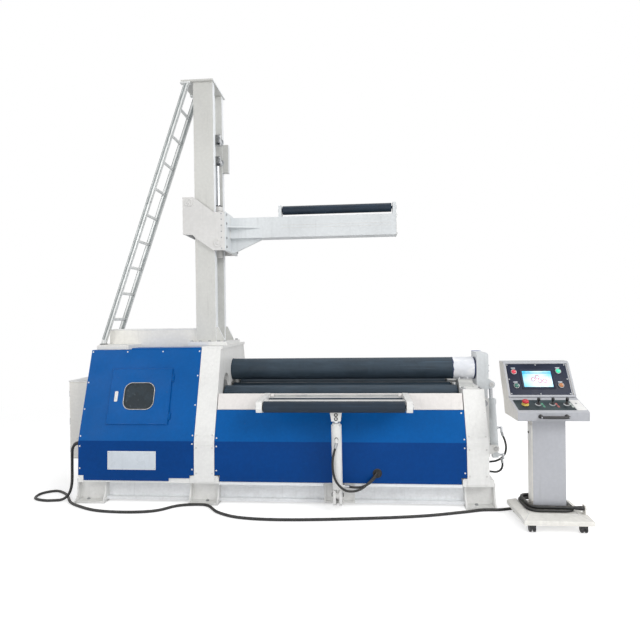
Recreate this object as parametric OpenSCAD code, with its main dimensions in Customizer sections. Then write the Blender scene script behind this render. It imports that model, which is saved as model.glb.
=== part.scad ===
// Four-roll plate rolling machine with an overhead support, a front table and a console.
// X runs along the rolls, Y runs front (-) to back (+), Z is up from the floor.
// The origin is on the floor, midway between the two roll frames, below the top roll.

/* [Rolls] */
// Half length of the top roll's dark barrel
barrel_half = 1075; // [1072:1:1080]
// Radius of the top roll
top_roll_r = 103.5; // [100:0.5:104]
// Height of the top roll's axis
top_roll_z = 1119; // [1119:1:1125]
// Radius of the bottom roll
bottom_roll_r = 95; // [90:1:96]
// Height of the bottom roll's axis when it is clamped
bottom_roll_z = 890; // [884:1:890]
// Radius of the two side rolls
side_roll_r = 80; // [76:1:82]
// Distance of each side roll's axis from the middle plane
side_roll_y = 310; // [300:1:320]
// Height of the side rolls' axes at rest
side_roll_z = 918; // [910:1:925]
// Lean of the side rolls' guides away from upright
guide_lean = 20; // [15:1:22]

/* [Body] */
// Half depth of the body at its foot
base_half = 700; // [690:1:705]
// Half depth of the body at its bend line
knee_half = 687; // [680:1:690]
// Half depth of the body at its top
top_half = 440; // [438:1:444]
// Height of the body's foot
body_z = 221; // [221:1:221]
// Height of the bend line
knee_z = 566; // [560:1:570]
// Height of the drive side's top
top_z = 1346; // [1342:1:1348]
// Distance of each roll frame's inner face from the middle
frame_in = 1066; // [1064:1:1068]
// Thickness of each roll frame
frame_t = 178; // [176:1:180]
// Height of the drop end's frame
right_top_z = 990; // [985:1:990]
// Left end of the drive housing
drive_end_x = -2286; // [-2300:1:-2280]
// Thickness of the cover sheets
sheet = 8; // [6:1:8]

/* [Base] */
// Half depth of the base frame
foot_half = 655; // [650:1:658]
// Height of the base frame's top
foot_top_z = 205; // [200:1:206]
// Height of the beams' underside
beam_low_z = 22; // [20:1:30]
// Distance of the four main anchor holes from the middle
anchor_x = 1160; // [1155:1:1165]
// Distance of the anchor holes from the middle plane
anchor_y = 595; // [590:1:600]
// Radius of an anchor hole
anchor_r = 13; // [11:1:15]

/* [Overhead support] */
// Middle of the column along the machine
column_x = -1282; // [-1284:1:-1280]
// Half width of the column along the machine
column_half_x = 96; // [94:1:97]
// Half depth of the column
column_half_y = 187; // [184:1:187]
// Height of the column's foot
column_z0 = 1405; // [1400:1:1405]
// Height of the column's top
column_z1 = 3911; // [3905:1:3915]
// Height of the arm's middle
arm_z = 2512; // [2510:1:2514]
// Right end of the arm
arm_end_x = 563; // [560:1:570]
// Radius of the arm's roller
arm_roller_r = 43; // [41:1:46]

/* [Front table] */
// Middle of the table along the machine
table_x = -18; // [-20:1:-16]
// Radius of the table's front roller
table_roller_r = 45; // [43:1:46]
// Height of the table's front roller
table_roller_z = 910; // [908:1:912]
// Distance of the front roller's axis in front of the middle plane
table_roller_y = 946; // [944:1:948]

/* [Console] */
// Middle of the console along the machine
console_x = 1638; // [1632:1:1642]
// Width of the console's desk
console_w = 524; // [514:1:528]
// Height of the console's top
console_top_z = 1233; // [1230:1:1236]

/* [Hidden] */
$fn = 64;

run = 0.05;                       // radial clearance of a running fit
gap = 6;                          // clearance between parts that move past each other
frame_out = frame_in + frame_t;   // outer face of each roll frame
slant = atan((knee_half - top_half) / (top_z - knee_z));
guide_depth = 135;                // how far the roll guides reach into a frame
flare = 38;                       // how far a frame's foot flares to each side
flare_z = 272;                    // height where the flare starts
block_t = 124;                    // thickness of a roll's bearing block
block_x = frame_in + gap;         // inner face of the bearing blocks
journal_r = 48;
side_block_r = 85;
side_cap = 50;                    // height of a side block's round top above the journal
bottom_block_r = 86;
side_travel = [-60, 60];
bottom_travel = [-40, 24];
yoke_x = 1291;                    // inner face of the drop end's yoke
yoke_t = 110;                     // thickness of its upper part
yoke_pivot = [1341, 800];
yoke_ear = [1442, 960];
yoke_lug = [1474, 350];
hose_box = [84, 248];             // lowest height of the hose box, and the top of its opening
cone_r0 = 72;                     // the top roll's tapered journal, where it starts
cone_r1 = 48;                     // and where it ends
cone_x0 = 1285;
cone_x1 = 1386;
table_hinge = [-615, 945];
table_eye = [-861, 815];
table_foot = [-760, 150];
cylinder_x = -4;                  // middle of the table's cylinder along the machine
table_arm_in = 567;               // inner face of the table's arms from the table's middle
door_x0 = -2050;
door_x1 = -1492;
door_v0 = 140;                    // lower edge of the door, up the slope from the bend line
door_v1 = 638;
arm_h = 200;
arm_d = 150;
arm_x0 = -1064;
roll_recess = 19;                 // depth of the left frame's recess for the top roll
roller_x0 = -545;
roller_x1 = 520;
arm_roller_z = 2687;
plate_y = column_half_y + 10;     // inner face of the carriage's side plates
plate_t = 25;
recess_half = 122;                // half width of the column's open channel
lift_x = -1200;                   // axis of the lift cylinder
guide_roll = [[-1424, 2742, 40], [-1147, 2347, 34]];
ladder_foot = [-2302, 1386];
ladder_top = [-1428, 3898];
rung_pitch = 254.5;
rungs = 9;
ladder_plate_z = 1386;

// Half depth of the body at height z
function half_depth(z) = z <= knee_z
    ? base_half + (knee_half - base_half) * (z - body_z) / (knee_z - body_z)
    : knee_half + (top_half - knee_half) * (z - knee_z) / (top_z - knee_z);

// A profile drawn in Y and Z, carried along X from x0 to x1
module along_x(x0, x1) translate([x0, 0, 0]) rotate([90, 0, 90]) linear_extrude(x1 - x0) children();

// A profile drawn in X and Z, carried along Y from y0 to y1
module along_y(y0, y1) translate([0, y1, 0]) rotate([90, 0, 0]) linear_extrude(y1 - y0) children();

// A round bar along X
module bar_x(x0, x1, r, y = 0, z = 0) translate([x0, y, z]) rotate([0, 90, 0]) cylinder(r = r, h = x1 - x0);

// A round bar along Y
module bar_y(y0, y1, r, x = 0, z = 0) translate([x, y1, z]) rotate([90, 0, 0]) cylinder(r = r, h = y1 - y0);

// A box given by its two corners
module block(low, high) translate(low) cube(high - low);

// The body's side outline between two heights, set in by a margin
module side_profile(z0, z1, margin = 0) {
    knee = (z0 < knee_z && z1 > knee_z) ? [knee_z] : [];
    heights = concat([z0], knee, [z1]);
    front = [for (z = heights) [-half_depth(z) + margin, z]];
    back = [for (i = [len(heights) - 1:-1:0]) [half_depth(heights[i]) - margin, heights[i]]];
    polygon(concat(front, back));
}

// One folded sheet of the front: its outer face follows the body's outline
module sheet_profile(z0, z1) {
    heights = [z0, knee_z, z1];
    polygon(concat([for (z = heights) [-half_depth(z), z]],
        [for (i = [2:-1:0]) [-half_depth(heights[i]) + sheet, heights[i]]]));
}

// Children drawn on the front slope: X along the machine, Z up the slope, -Y outwards
module on_slope() translate([0, -knee_half, knee_z]) rotate([-slant, 0, 0]) children();

// Children drawn on the front side, and repeated behind
module front_and_back() {
    children();
    mirror([0, 1, 0]) children();
}

/* ---- base ---- */
foot_spans = [[-2349, -2078], [-1314, -1050], [-127, 136], [1060, 1312]];
foot_plate = 14;
foot_floor = 20;                  // thickness of a foot's bottom plate
foot_back = 565;                  // distance of a foot's back wall from the middle plane
beam_half = 600;                  // half depth across the beams
middle_low_z = 18;                // underside of the middle foot

module channel(x0, x1) difference() {
    block([x0, -beam_half, beam_low_z], [x1, -beam_half + 60, foot_top_z - 8]);
    block([x0 - 1, -beam_half - 1, beam_low_z + 25], [x1 + 1, -beam_half + 48, foot_top_z - 20]);
}

module base_beams() color("gainsboro") {
    for (i = [0:2]) front_and_back() channel(foot_spans[i][1], foot_spans[i + 1][0]);
    // Sills between the frames, on the beams
    for (side = [-1, 1]) for (x = [[-frame_in + flare + 3, foot_spans[2][0]], [foot_spans[2][1], frame_in - flare - 3]])
        block([x[0], side * 640 - 50, foot_top_z - 9], [x[1], side * 640 + 50, body_z]);
}

// Open end of a foot, in front of its back wall
module foot_pocket(x0, x1) block([x0, -foot_half - 1, foot_floor], [x1, -foot_back, foot_top_z - 16]);

// A foot across the whole depth, flared and open at both ends, with an anchor hole in each end
module foot(x0, x1, anchor) {
    flared = [[655, 0], [655, 22], [640, 40], [622, 66], [611, 100], [605, 145], [605, foot_top_z]];
    difference() {
        along_x(x0, x1) polygon(concat([for (p = flared) [-foot_half + 655 - p[0], p[1]]],
            [for (i = [len(flared) - 1:-1:0]) [foot_half - 655 + flared[i][0], flared[i][1]]]));
        front_and_back() {
            foot_pocket(x0 + foot_plate, x1 - foot_plate);
            translate([anchor, -anchor_y, -1]) cylinder(r = anchor_r, h = foot_floor + 2);
        }
    }
}

module base_feet() color("whitesmoke") {
    foot(foot_spans[0][0], foot_spans[0][1], -2250);
    foot(foot_spans[1][0], foot_spans[1][1], -anchor_x);
    foot(foot_spans[3][0], foot_spans[3][1], anchor_x);
    // The middle foot carries the clevis of the front table's cylinder
    difference() {
        union() {
            block([foot_spans[2][0], -605, middle_low_z], [foot_spans[2][1], 605, foot_top_z]);
            for (side = [-1, 1]) along_x(cylinder_x + side * 25 - 11, cylinder_x + side * 25 + 11)
                polygon([[-604, middle_low_z], [-700, 44], [-788, 70], [-804, 88], [-804, 190], [-790, 202],
                    [-604, foot_top_z]]);
            bar_x(cylinder_x - 44, cylinder_x + 44, 15, table_foot[0], table_foot[1]);
        }
        for (x = [[foot_spans[2][0] + foot_plate, cylinder_x - 40], [cylinder_x + 40, foot_spans[2][1] - foot_plate]])
            front_and_back() block([x[0], -606, middle_low_z + foot_floor], [x[1], -593, foot_top_z - 16]);
    }
}

/* ---- drive side ---- */
module drive_housing() color("whitesmoke") difference() {
    union() {
        along_x(drive_end_x + 12, -frame_out - 1) side_profile(body_z, top_z - sheet - 2, sheet + 3);
        // Sill between the covers and the base
        block([drive_end_x + 2, -690, foot_top_z], [-frame_out - 1, 690, body_z]);
        // Corner blocks in the covers' notches
        front_and_back() block([drive_end_x, -697, foot_top_z], [drive_end_x + 48, -672, body_z + 43]);
    }
    // Space behind the door
    on_slope() block([door_x0 + 20, -2, door_v0 + 20], [door_x1 - 20, 130, door_v1 - 20]);
    // Room for the roll frame's flared foot
    block([-frame_out - flare - 3, -base_half, foot_top_z - 1], [-frame_out, base_half, flare_z + 3]);
}

module corner_notch()
    block([drive_end_x - 1, -base_half - 1, body_z - 1], [drive_end_x + 50, -base_half + 30, body_z + 45]);

module front_cover() difference() {
    union() {
        along_x(drive_end_x, -frame_out - 2) sheet_profile(body_z + 2, top_z);
        block([drive_end_x, -top_half, top_z - sheet], [-frame_out - 2, -130, top_z]);
        // Raised lid
        block([-1905, -top_half + 2, top_z - 1], [-frame_out - 8, -262, top_z + 14]);
    }
    // Notches over the feet
    corner_notch();
    block([-1470, -base_half - 1, body_z - 1], [-frame_out + 1, -base_half + 30, body_z + 28]);
    block([-frame_out - flare - 4, -base_half - 1, body_z - 1], [-frame_out + 1, -base_half + 30, flare_z + 4]);
    children();
}

module drive_covers() color([0.02, 0.28, 0.55]) {
    front_cover() on_slope()
        block([door_x0 + 15, -10, door_v0 + 15], [door_x1 - 15, 20, door_v1 - 15]);
    mirror([0, 1, 0]) front_cover();
    // End cover, seams of 2 mm to its neighbours
    difference() {
        along_x(drive_end_x, drive_end_x + sheet) side_profile(body_z + 2, top_z - sheet - 2, sheet + 2);
        front_and_back() corner_notch();
    }
    // Fixed halves of the door's two hinges
    on_slope() for (v = [215, 552]) {
        translate([door_x1 + 9, -9, v - 32]) cylinder(r = 3, h = 64);
        for (end = [-1, 1]) translate([door_x1 + 9, -9, v + end * 24 - 8]) {
            cylinder(r = 7, h = 16);
            translate([-6, 0, 0]) cube([14, 9.5, 16]);
        }
    }
}

module access_door() color([0.02, 0.3, 0.58]) on_slope() {
    difference() {
        block([door_x0, -13, door_v0], [door_x1, -2, door_v1]);
        // Rounded opening of the window, closed by the pane behind
        translate([-1776, -7, 389]) rotate([90, 0, 0]) linear_extrude(10)
            offset(r = 70) square([136, 96], center = true);
    }
    for (v = [215, 552]) difference() {
        union() {
            translate([door_x1 + 9, -9, v - 15]) cylinder(r = 7, h = 30);
            block([door_x1 - 2, -13, v - 15], [door_x1 + 6, -6, v + 15]);
        }
        translate([door_x1 + 9, -9, v - 16]) cylinder(r = 3 + run, h = 32);
    }
}

/* ---- roll frames ---- */
// Guide of a side roll's block, drawn in Y and Z for the front: open is how far it reaches up
module side_guide(reach, square_top) translate([-side_roll_y, side_roll_z]) rotate(-guide_lean) {
    half = side_block_r + gap;
    low = side_block_r + 75 - side_travel[0] + gap;
    translate([-half, -low]) square([2 * half, low + reach]);
    if (!square_top) translate([0, reach]) circle(half);
}

module bottom_guide(reach) {
    half = bottom_block_r + gap;
    low = bottom_block_r + 75 - bottom_travel[0] + gap;
    translate([-half, bottom_roll_z - low]) square([2 * half, low + reach]);
}

// A roll frame's outline from x0 to x1, with its flared foot
module frame_body(x0, x1, top) {
    along_x(x0, x1) side_profile(body_z, top);
    block([x0 - flare, -base_half + 9, foot_top_z], [x1 + flare, base_half - 9, flare_z - 10]);
    along_y(-base_half + 1, base_half - 1) polygon([[x0 - flare, flare_z - 11], [x0 - flare + 8, flare_z - 2],
        [x0, flare_z], [x1, flare_z], [x1 + flare - 8, flare_z - 2], [x1 + flare, flare_z - 11]]);
}

module left_frame() color("whitesmoke") difference() {
    frame_body(-frame_out, -frame_in, top_z);
    along_x(-frame_in - guide_depth, -frame_in + 2) {
        bottom_guide(bottom_block_r + bottom_travel[1] + gap);
        side_guide(side_travel[1] + side_cap, false);
        mirror([1, 0]) side_guide(side_travel[1] + side_cap, false);
    }
    bar_x(-frame_in - 150, -frame_in + 2, 70 + run, 0, top_roll_z);
    // Recess for the top roll's end
    bar_x(-frame_in - roll_recess, -frame_in + 2, top_roll_r + 5, 0, top_roll_z);
}

module right_frame() color("whitesmoke") difference() {
    frame_body(frame_in, frame_out, right_top_z);
    along_x(frame_in - 2, frame_in + guide_depth) {
        bottom_guide(400);
        side_guide(400, true);
        mirror([1, 0]) side_guide(400, true);
    }
}

module panel(top) difference() {
    along_x(-frame_in + 3, frame_in - 3) sheet_profile(body_z + 5, top);
    for (side = [-1, 1]) translate([side * frame_in, -base_half, body_z]) cube([96, 60, 116], center = true);
    children();
}

module middle_panels() color([0.02, 0.28, 0.55]) {
    // The front panel has a hole for the table's hoses
    panel(822) bar_y(-base_half - 20, -base_half + 40, 34, 327, 310);
    mirror([0, 1, 0]) panel(822);
}

module cross_beams() color("gainsboro") {
    front_and_back() on_slope()
        block([-frame_in + 8, 4, 273], [frame_in - 8, 54, 413]);
    // Ears that carry the front table's hinge pins
    for (side = [-1, 1]) {
        x = table_x + side * (table_arm_in - 22);
        difference() {
            along_x(x - 12, x + 12) polygon([[-640, 950], [-628, 965], [-610, 968], [-570, 945], [-570, 905], [-632, 930]]);
            on_slope() block([-1000, 4.2, 200], [1000, 60, 450]);
        }
        bar_x(side > 0 ? x : x - 60, side > 0 ? x + 60 : x, 12, table_hinge[0], table_hinge[1]);
    }
}

module frame_cap() color("white") {
    block([-frame_out, -top_half + 1, top_z], [-frame_in + 12, top_half - 1, column_z0 - 35]);
    block([-1440, -250, top_z + 1], [-frame_out - 1, 250, column_z0 - 35]);
    block([-1440, -250, column_z0 - 34], [-frame_in + 4, 250, column_z0]);
}

/* ---- rolls ---- */
module top_roll() color([0.18, 0.21, 0.26]) {
    bar_x(-frame_in - roll_recess + gap, cone_x0, top_roll_r, 0, top_roll_z);
    bar_x(-frame_in - 148, -frame_in - roll_recess + gap + 1, 70, 0, top_roll_z);
    translate([cone_x0 - 1, 0, top_roll_z]) rotate([0, 90, 0])
        cylinder(r1 = cone_r0, r2 = cone_r1, h = cone_x1 - cone_x0 + 1);
}

module plain_roll(r, y, z) {
    bar_x(-frame_in + 9, frame_in - 9, r, y, z);
    bar_x(-block_x - block_t + 10, block_x + block_t - 10, journal_r, y, z);
}

module bottom_roll() color([0.18, 0.21, 0.26]) plain_roll(bottom_roll_r, 0, bottom_roll_z);

module front_side_roll() color([0.18, 0.21, 0.26]) plain_roll(side_roll_r, -side_roll_y, side_roll_z);

module rear_side_roll() color([0.18, 0.21, 0.26]) plain_roll(side_roll_r, side_roll_y, side_roll_z);

// A pair of bearing blocks: rounded above the journal, straight below it
module bearing_blocks(r, y, z, lean, cap = 0) for (side = [-1, 1]) difference() {
    translate([side > 0 ? block_x : -block_x - block_t, y, z]) rotate([lean, 0, 0]) {
        translate([0, 0, cap]) rotate([0, 90, 0]) cylinder(r = r, h = block_t);
        translate([0, -r, -r - 75]) cube([block_t, 2 * r, r + 75 + cap]);
    }
    bar_x(side > 0 ? block_x - 1 : -block_x - block_t + 8, side > 0 ? block_x + block_t - 8 : -block_x + 1,
        journal_r + run, y, z);
}

module bottom_roll_blocks() color("lightgray") bearing_blocks(bottom_block_r, 0, bottom_roll_z, 0);

module front_roll_blocks() color("lightgray")
    bearing_blocks(side_block_r, -side_roll_y, side_roll_z, -guide_lean, side_cap);

module rear_roll_blocks() color("lightgray")
    bearing_blocks(side_block_r, side_roll_y, side_roll_z, guide_lean, side_cap);

/* ---- drop end ---- */
module yoke_bracket() color("whitesmoke") difference() {
    union() {
        for (side = [-1, 1]) along_y(side * 125 - 20, side * 125 + 20)
            polygon([[frame_out, 280], [frame_out, 870], [1330, 870], [1391, 840], [1391, 300], [1370, 280]]);
        block([frame_out, -106, 280], [1391, 106, 640]);
        bar_y(-145, 145, 25, yoke_pivot[0], yoke_pivot[1]);
        for (side = [-1, 1]) {
            along_y(side * 34 - 10, side * 34 + 10)
                polygon([[1390, 285], [1390, 385], [1474, 385], [1474, 315]]);
            bar_y(side * 34 - 10, side * 34 + 10, 35, yoke_lug[0], yoke_lug[1]);
        }
        bar_y(-50, 50, 15, yoke_lug[0], yoke_lug[1]);
        // Box that the hoses enter
        block([foot_spans[3][1] + 1, -62, hose_box[0]], [1391, 62, 281]);
    }
    block([foot_spans[3][1] + 13, -50, hose_box[0] + 12], [1392, 50, hose_box[1]]);
}

module drop_end_yoke() color("gainsboro") difference() {
    union() {
        along_y(-100, 100) {
            translate([yoke_x, yoke_pivot[1]]) square([yoke_t - 10, 240]);
            translate([yoke_x, 1030]) square([yoke_t, 208]);
            translate([yoke_x, 1237]) square([yoke_t - 35, 36]);
            translate([yoke_x + yoke_t - 35, 1238]) circle(35);
        }
        bar_y(-100, 100, yoke_t / 2 - 5, yoke_pivot[0], yoke_pivot[1]);
        // Cap over the journal
        bar_x(yoke_x + yoke_t - 1, yoke_x + yoke_t + 5, 84, 0, top_roll_z);
        // Ear for the cylinder's rod
        for (side = [-1, 1]) {
            along_y(side * 30 - 9, side * 30 + 9)
                polygon([[1390, 905], [1390, 1015], [1420, 1015], [yoke_ear[0] + 30, 975], [yoke_ear[0] + 30, 945]]);
            bar_y(side * 30 - 9, side * 30 + 9, 34, yoke_ear[0], yoke_ear[1]);
        }
        bar_y(-39, 39, 12, yoke_ear[0], yoke_ear[1]);
    }
    translate([cone_x0, 0, top_roll_z]) rotate([0, 90, 0])
        cylinder(r1 = cone_r0 + 1.5, r2 = cone_r1 + 1.5, h = cone_x1 - cone_x0);
    translate([cone_x1 - 0.5, 0, top_roll_z]) rotate([0, 90, 0]) cylinder(r = cone_r1 + 1.5, h = 8);
    bar_y(-101, 101, 25 + run, yoke_pivot[0], yoke_pivot[1]);
}

// Tilt of the yoke's cylinder from upright, and its length between pins
yoke_lean = atan((yoke_ear[0] - yoke_lug[0]) / (yoke_ear[1] - yoke_lug[1]));
yoke_pins = norm(yoke_ear - yoke_lug);
yoke_ports = [-70, 190];          // ports' distances above the lower pin
elbow_x = 76;
elbow_drop = 42;

module on_yoke_cylinder() translate([yoke_lug[0], 0, yoke_lug[1]]) rotate([0, yoke_lean, 0]) children();

module yoke_cylinder() color("gainsboro") on_yoke_cylinder() difference() {
    union() {
        bar_y(-22, 22, 32);
        block([-28, -22, -92], [28, 22, 0]);
        translate([0, 0, 20]) cylinder(r = 38, h = 408);
        translate([0, 0, 427]) cylinder(r = 44, h = 41);
        // Ports
        for (v = yoke_ports) bar_x(20, 46, 14, 0, v);
    }
    bar_y(-23, 23, 15 + run);
    translate([0, 0, 45]) cylinder(r = 18 + run, h = 460);
    // The end cap is flattened where the lugs pass
    for (side = [-1, 1]) block([-60, side * 40 - 18, -40], [60, side * 40 + 18, 50]);
}

// Elbows on the two ports, with their outlets pointing down
module yoke_fittings() color("silver") on_yoke_cylinder() for (v = yoke_ports) {
    bar_x(46, elbow_x, 11, 0, v);
    translate([elbow_x, 0, v]) sphere(12);
    translate([elbow_x, 0, v - elbow_drop]) cylinder(r = 12, h = elbow_drop);
}

module yoke_rod() color("silver") on_yoke_cylinder() difference() {
    union() {
        translate([0, 0, 170]) cylinder(r = 18, h = yoke_pins - 170);
        translate([0, 0, yoke_pins]) bar_y(-18, 18, 30);
    }
    translate([0, 0, yoke_pins]) bar_y(-19, 19, 12 + gap);
}

/* ---- overhead support ---- */
module column() color("gainsboro") {
    x0 = column_x - column_half_x;
    x1 = column_x + column_half_x;
    difference() {
        block([x0, -column_half_y, column_z0], [x1, column_half_y, column_z1]);
        block([lift_x - 52, -recess_half, column_z0 + 20], [x1 + 1, recess_half, column_z1 - 1]);
    }
    // Cap plate, its left end carries the ladder
    block([-1490, -215, column_z1], [x1 + 12, 215, column_z1 + 16]);
    // Gussets at the foot
    for (side = [-1, 1]) along_y(side * 168 - 9, side * 168 + 9)
        polygon([[x1 - 1, column_z0], [x1 - 1, column_z0 + 138], [x1 + 20, column_z0 + 138], [x1 + 88, column_z0]]);
    // Stop plate on the rear half
    block([x1 - 1, 128, 3125], [x1 + 62, 180, 3410]);
}

module lift_rod() color("silver") {
    translate([lift_x, 0, 2510]) cylinder(r = 19, h = 680);
    // Rod head and anchor plate on the recess's back wall, with a pin through each
    difference() {
        block([lift_x - 52, -22, 3150], [lift_x + 34, 22, 3462]);
        block([lift_x - 30, -60, 3246], [lift_x + 60, 60, 3356]);
    }
    for (z = [3199, 3407]) bar_y(-49, 49, 26, lift_x + 14, z);
}

module carriage() color("gainsboro") {
    outline = [[-1486, 2795], [-1379, 2795], [-1182, 2644], [-1090, 2644], [-1090, 2279],
        [-1190, 2279], [-1358, 2398], [-1392, 2432], [-1486, 2438]];
    difference() {
        front_and_back() along_y(-plate_y - plate_t, -plate_y) polygon(outline);
        for (g = guide_roll) bar_y(-300, 300, 14 + run, g[0], g[1]);
    }
    // Left plate and right flange
    block([-1486, -plate_y + 0.5, 2441], [-1478, plate_y - 0.5, 2793]);
    block([-1090.5, -plate_y - plate_t, 2276], [arm_x0 - 12.5, plate_y + plate_t, 2647]);
    // Guide rollers with their axles
    for (g = guide_roll) front_and_back() {
        bar_y(-plate_y + 2, -60, g[2], g[0], g[1]);
        bar_y(-plate_y - plate_t - 8, -52, 14, g[0], g[1]);
    }
}

module lift_cylinder() color("gainsboro") difference() {
    union() {
        translate([lift_x, 0, 2236]) cylinder(r = 38, h = 500);
        translate([lift_x, 0, 2700]) cylinder(r = 44, h = 40);
        // Bracket to the carriage's flange
        block([lift_x + 20, -30, 2420], [-1090.5, 30, 2480]);
    }
    translate([lift_x, 0, 2246]) cylinder(r = 19 + run, h = 520);
}

module overhead_arm() color("gainsboro") {
    z0 = arm_z - arm_h / 2;
    z1 = arm_z + arm_h / 2;
    block([arm_x0 - 12, -plate_y - plate_t, 2276], [arm_x0, plate_y + plate_t, 2647]);
    block([arm_x0 - 1, -arm_d / 2, z0], [arm_end_x, arm_d / 2, z1]);
    // Gusset plate below, tapered ribs on both sides
    along_y(-15, 15) polygon([[arm_x0 - 1, 2277], [-1030, 2281], [-762, z0 - 10], [-755, z0 + 1], [arm_x0 - 1, z0 + 1]]);
    front_and_back() translate([0, 0, arm_z - 6]) linear_extrude(14)
        polygon([[arm_x0 - 1, -arm_d / 2 + 1], [arm_x0 - 1, -arm_d / 2 - 92], [-764, -arm_d / 2 - 4], [-764, -arm_d / 2 + 1]]);
    // Brackets of the roller
    for (x = [[-585, -555], [530, arm_end_x]]) difference() {
        block([x[0], -42, z1 - 1], [x[1], 42, arm_roller_z + 42]);
        bar_x(x[0] - 1, x[1] + 1, 14 + run, 0, arm_roller_z);
    }
}

module arm_roller() color([0.07, 0.08, 0.1]) {
    bar_x(roller_x0, roller_x1, arm_roller_r, 0, arm_roller_z);
    bar_x(roller_x0 - 36, roller_x1 + 36, 14, 0, arm_roller_z);
}

module ladder() color("silver") difference() {
    lean = atan((ladder_top[0] - ladder_foot[0]) / (ladder_top[1] - ladder_foot[1]));
    length = norm(ladder_top - ladder_foot);
    top_rung = length - 232 / cos(lean);
    translate([ladder_foot[0], 0, ladder_foot[1]]) rotate([0, lean, 0]) {
        for (y = [-197, 80]) block([-30, y - 13, -30], [16, y + 13, length]);
        for (i = [0:rungs - 1]) bar_y(-186, 69, 14, -7, top_rung - i * rung_pitch / cos(lean));
    }
    // The rails end level on the plate
    block([-2500, -300, 1200], [-2100, 300, ladder_plate_z]);
}

module top_box() color("gainsboro") {
    block([-2272, -140, top_z + 1], [-1441, -15, 1529]);
    block([-1442, -140, column_z0 + 1], [-1384, -15, 1529]);
    // Step in front of the box and the plate under the ladder's foot
    block([-2262, -401, top_z + 1], [-1958, -139, ladder_plate_z]);
    block([-2340, -230, 1352], [-2235, 104, ladder_plate_z]);
}

/* ---- cabinet ---- */
module electrical_cabinet() color("whitesmoke") {
    block([-2650, -219, 270], [drive_end_x - 12, 219, 1027]);
    for (z = [400, 860]) block([drive_end_x - 13, -150, z], [drive_end_x - 0.5, 150, z + 60]);
}

/* ---- front table ---- */
module table_frame() color("white") {
    arm_outline = [[-985, 872], [-996, 900], [-990, 950], [-975, 958], [-600, 968], [-586, 945], [-600, 922], [-940, 862]];
    difference() {
        union() {
            for (side = [-1, 1]) {
                x = table_x + side * (table_arm_in + 24);
                along_x(x - 24, x + 24) polygon(arm_outline);
            }
            block([table_x - table_arm_in - 1, -840, 870], [table_x + table_arm_in + 1, -785, 942]);
            block([table_x - table_arm_in - 1, -666, 925], [table_x + table_arm_in + 1, -648, 945]);
            // Clevis of the cylinder's rod, with a plate in front
            for (side = [-1, 1]) along_x(cylinder_x + side * 30 - 9, cylinder_x + side * 30 + 9)
                polygon([[-897, 871], [-786, 871], [-786, 860], [-835, 788], [-897, 788]]);
            along_y(-904, -896) polygon([[cylinder_x - 49, 862], [cylinder_x + 49, 862],
                [cylinder_x + 36, 786], [cylinder_x - 36, 786]]);
            block([cylinder_x - 39, -900, 860], [cylinder_x + 39, -800, 885]);
            bar_x(cylinder_x - 39, cylinder_x + 39, 12, table_eye[0], table_eye[1]);
        }
        bar_x(table_x - 700, table_x + 700, 12 + run, table_hinge[0], table_hinge[1]);
        bar_x(table_x - table_arm_in - 34, table_x + table_arm_in + 34, 14 + run, -table_roller_y, table_roller_z);
        bar_x(table_x - table_arm_in - 24, table_x + table_arm_in + 24, 8 + run, -703, 920);
    }
}

module table_front_roller() color([0.07, 0.08, 0.1]) {
    bar_x(table_x - 558, table_x + 558, table_roller_r, -table_roller_y, table_roller_z);
    bar_x(table_x - table_arm_in - 30, table_x + table_arm_in + 30, 14, -table_roller_y, table_roller_z);
}

module table_rear_roller() color([0.07, 0.08, 0.1]) {
    bar_x(table_x - 560, table_x + 560, 22, -703, 920);
    bar_x(table_x - table_arm_in - 20, table_x + table_arm_in + 20, 8, -703, 920);
}

table_lean = atan((table_eye[0] - table_foot[0]) / (table_eye[1] - table_foot[1]));
table_pins = norm(table_eye - table_foot);

// Children drawn with Z along the table's cylinder, from its lower pin
module on_table_cylinder() translate([cylinder_x, table_foot[0], table_foot[1]]) rotate([-table_lean, 0, 0]) children();

module table_cylinder() color("white") on_table_cylinder() difference() {
    union() {
        bar_x(-13, 13, 32);
        translate([0, 0, 62]) cylinder(r = 42, h = 540);
        translate([0, 0, 601]) cylinder(r1 = 42, r2 = 32, h = 12);
        translate([0, 0, 30]) cylinder(r = 12, h = 40);
        // Ports, the upper one with an elbow
        translate([0, 0, 500]) rotate([90, 0, 0]) cylinder(r = 12, h = 58);
        translate([0, -58, 500]) sphere(12);
        translate([0, -58, 466]) cylinder(r = 12, h = 34);
        bar_x(30, 60, 12, -18, 84);
    }
    bar_x(-14, 14, 15 + run);
    translate([0, 0, 90]) cylinder(r = 20 + run, h = 530);
}

module table_rod() color("silver") on_table_cylinder() difference() {
    union() {
        translate([0, 0, 130]) cylinder(r = 20, h = table_pins - 130);
        translate([0, 0, table_pins]) bar_x(-18, 18, 27);
    }
    translate([0, 0, table_pins]) bar_x(-21, 21, 12 + gap - 1);
}

/* ---- console ---- */
console_front = -1008;            // front of the desk's lip
module console_desk() color("gainsboro") {
    half = console_w / 2;
    // Side outline: lip, working slope, sloped face and back
    along_x(console_x - half, console_x + half) polygon([[console_front + 5, 815], [console_front, 820], [console_front, 880],
        [console_front + 8, 887], [-785, 958], [-636, 1228], [-624, console_top_z], [-545, console_top_z],
        [-534, 1222], [-575, 1102], [-653, 931], [-681, 815]]);
    // Handle
    for (x = [-95, 95]) bar_y(console_front - 38, console_front + 1, 8, console_x + x, 850);
    bar_x(console_x - 103, console_x + 103, 8, console_front - 38, 850);
}

module console_post() color("gainsboro")
    block([console_x - 116, -892, deck_z], [console_x + 132, -786, 815]);

rail_low_z = 62;                  // underside of the console's foot
deck_z = 105;                     // and its top
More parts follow.
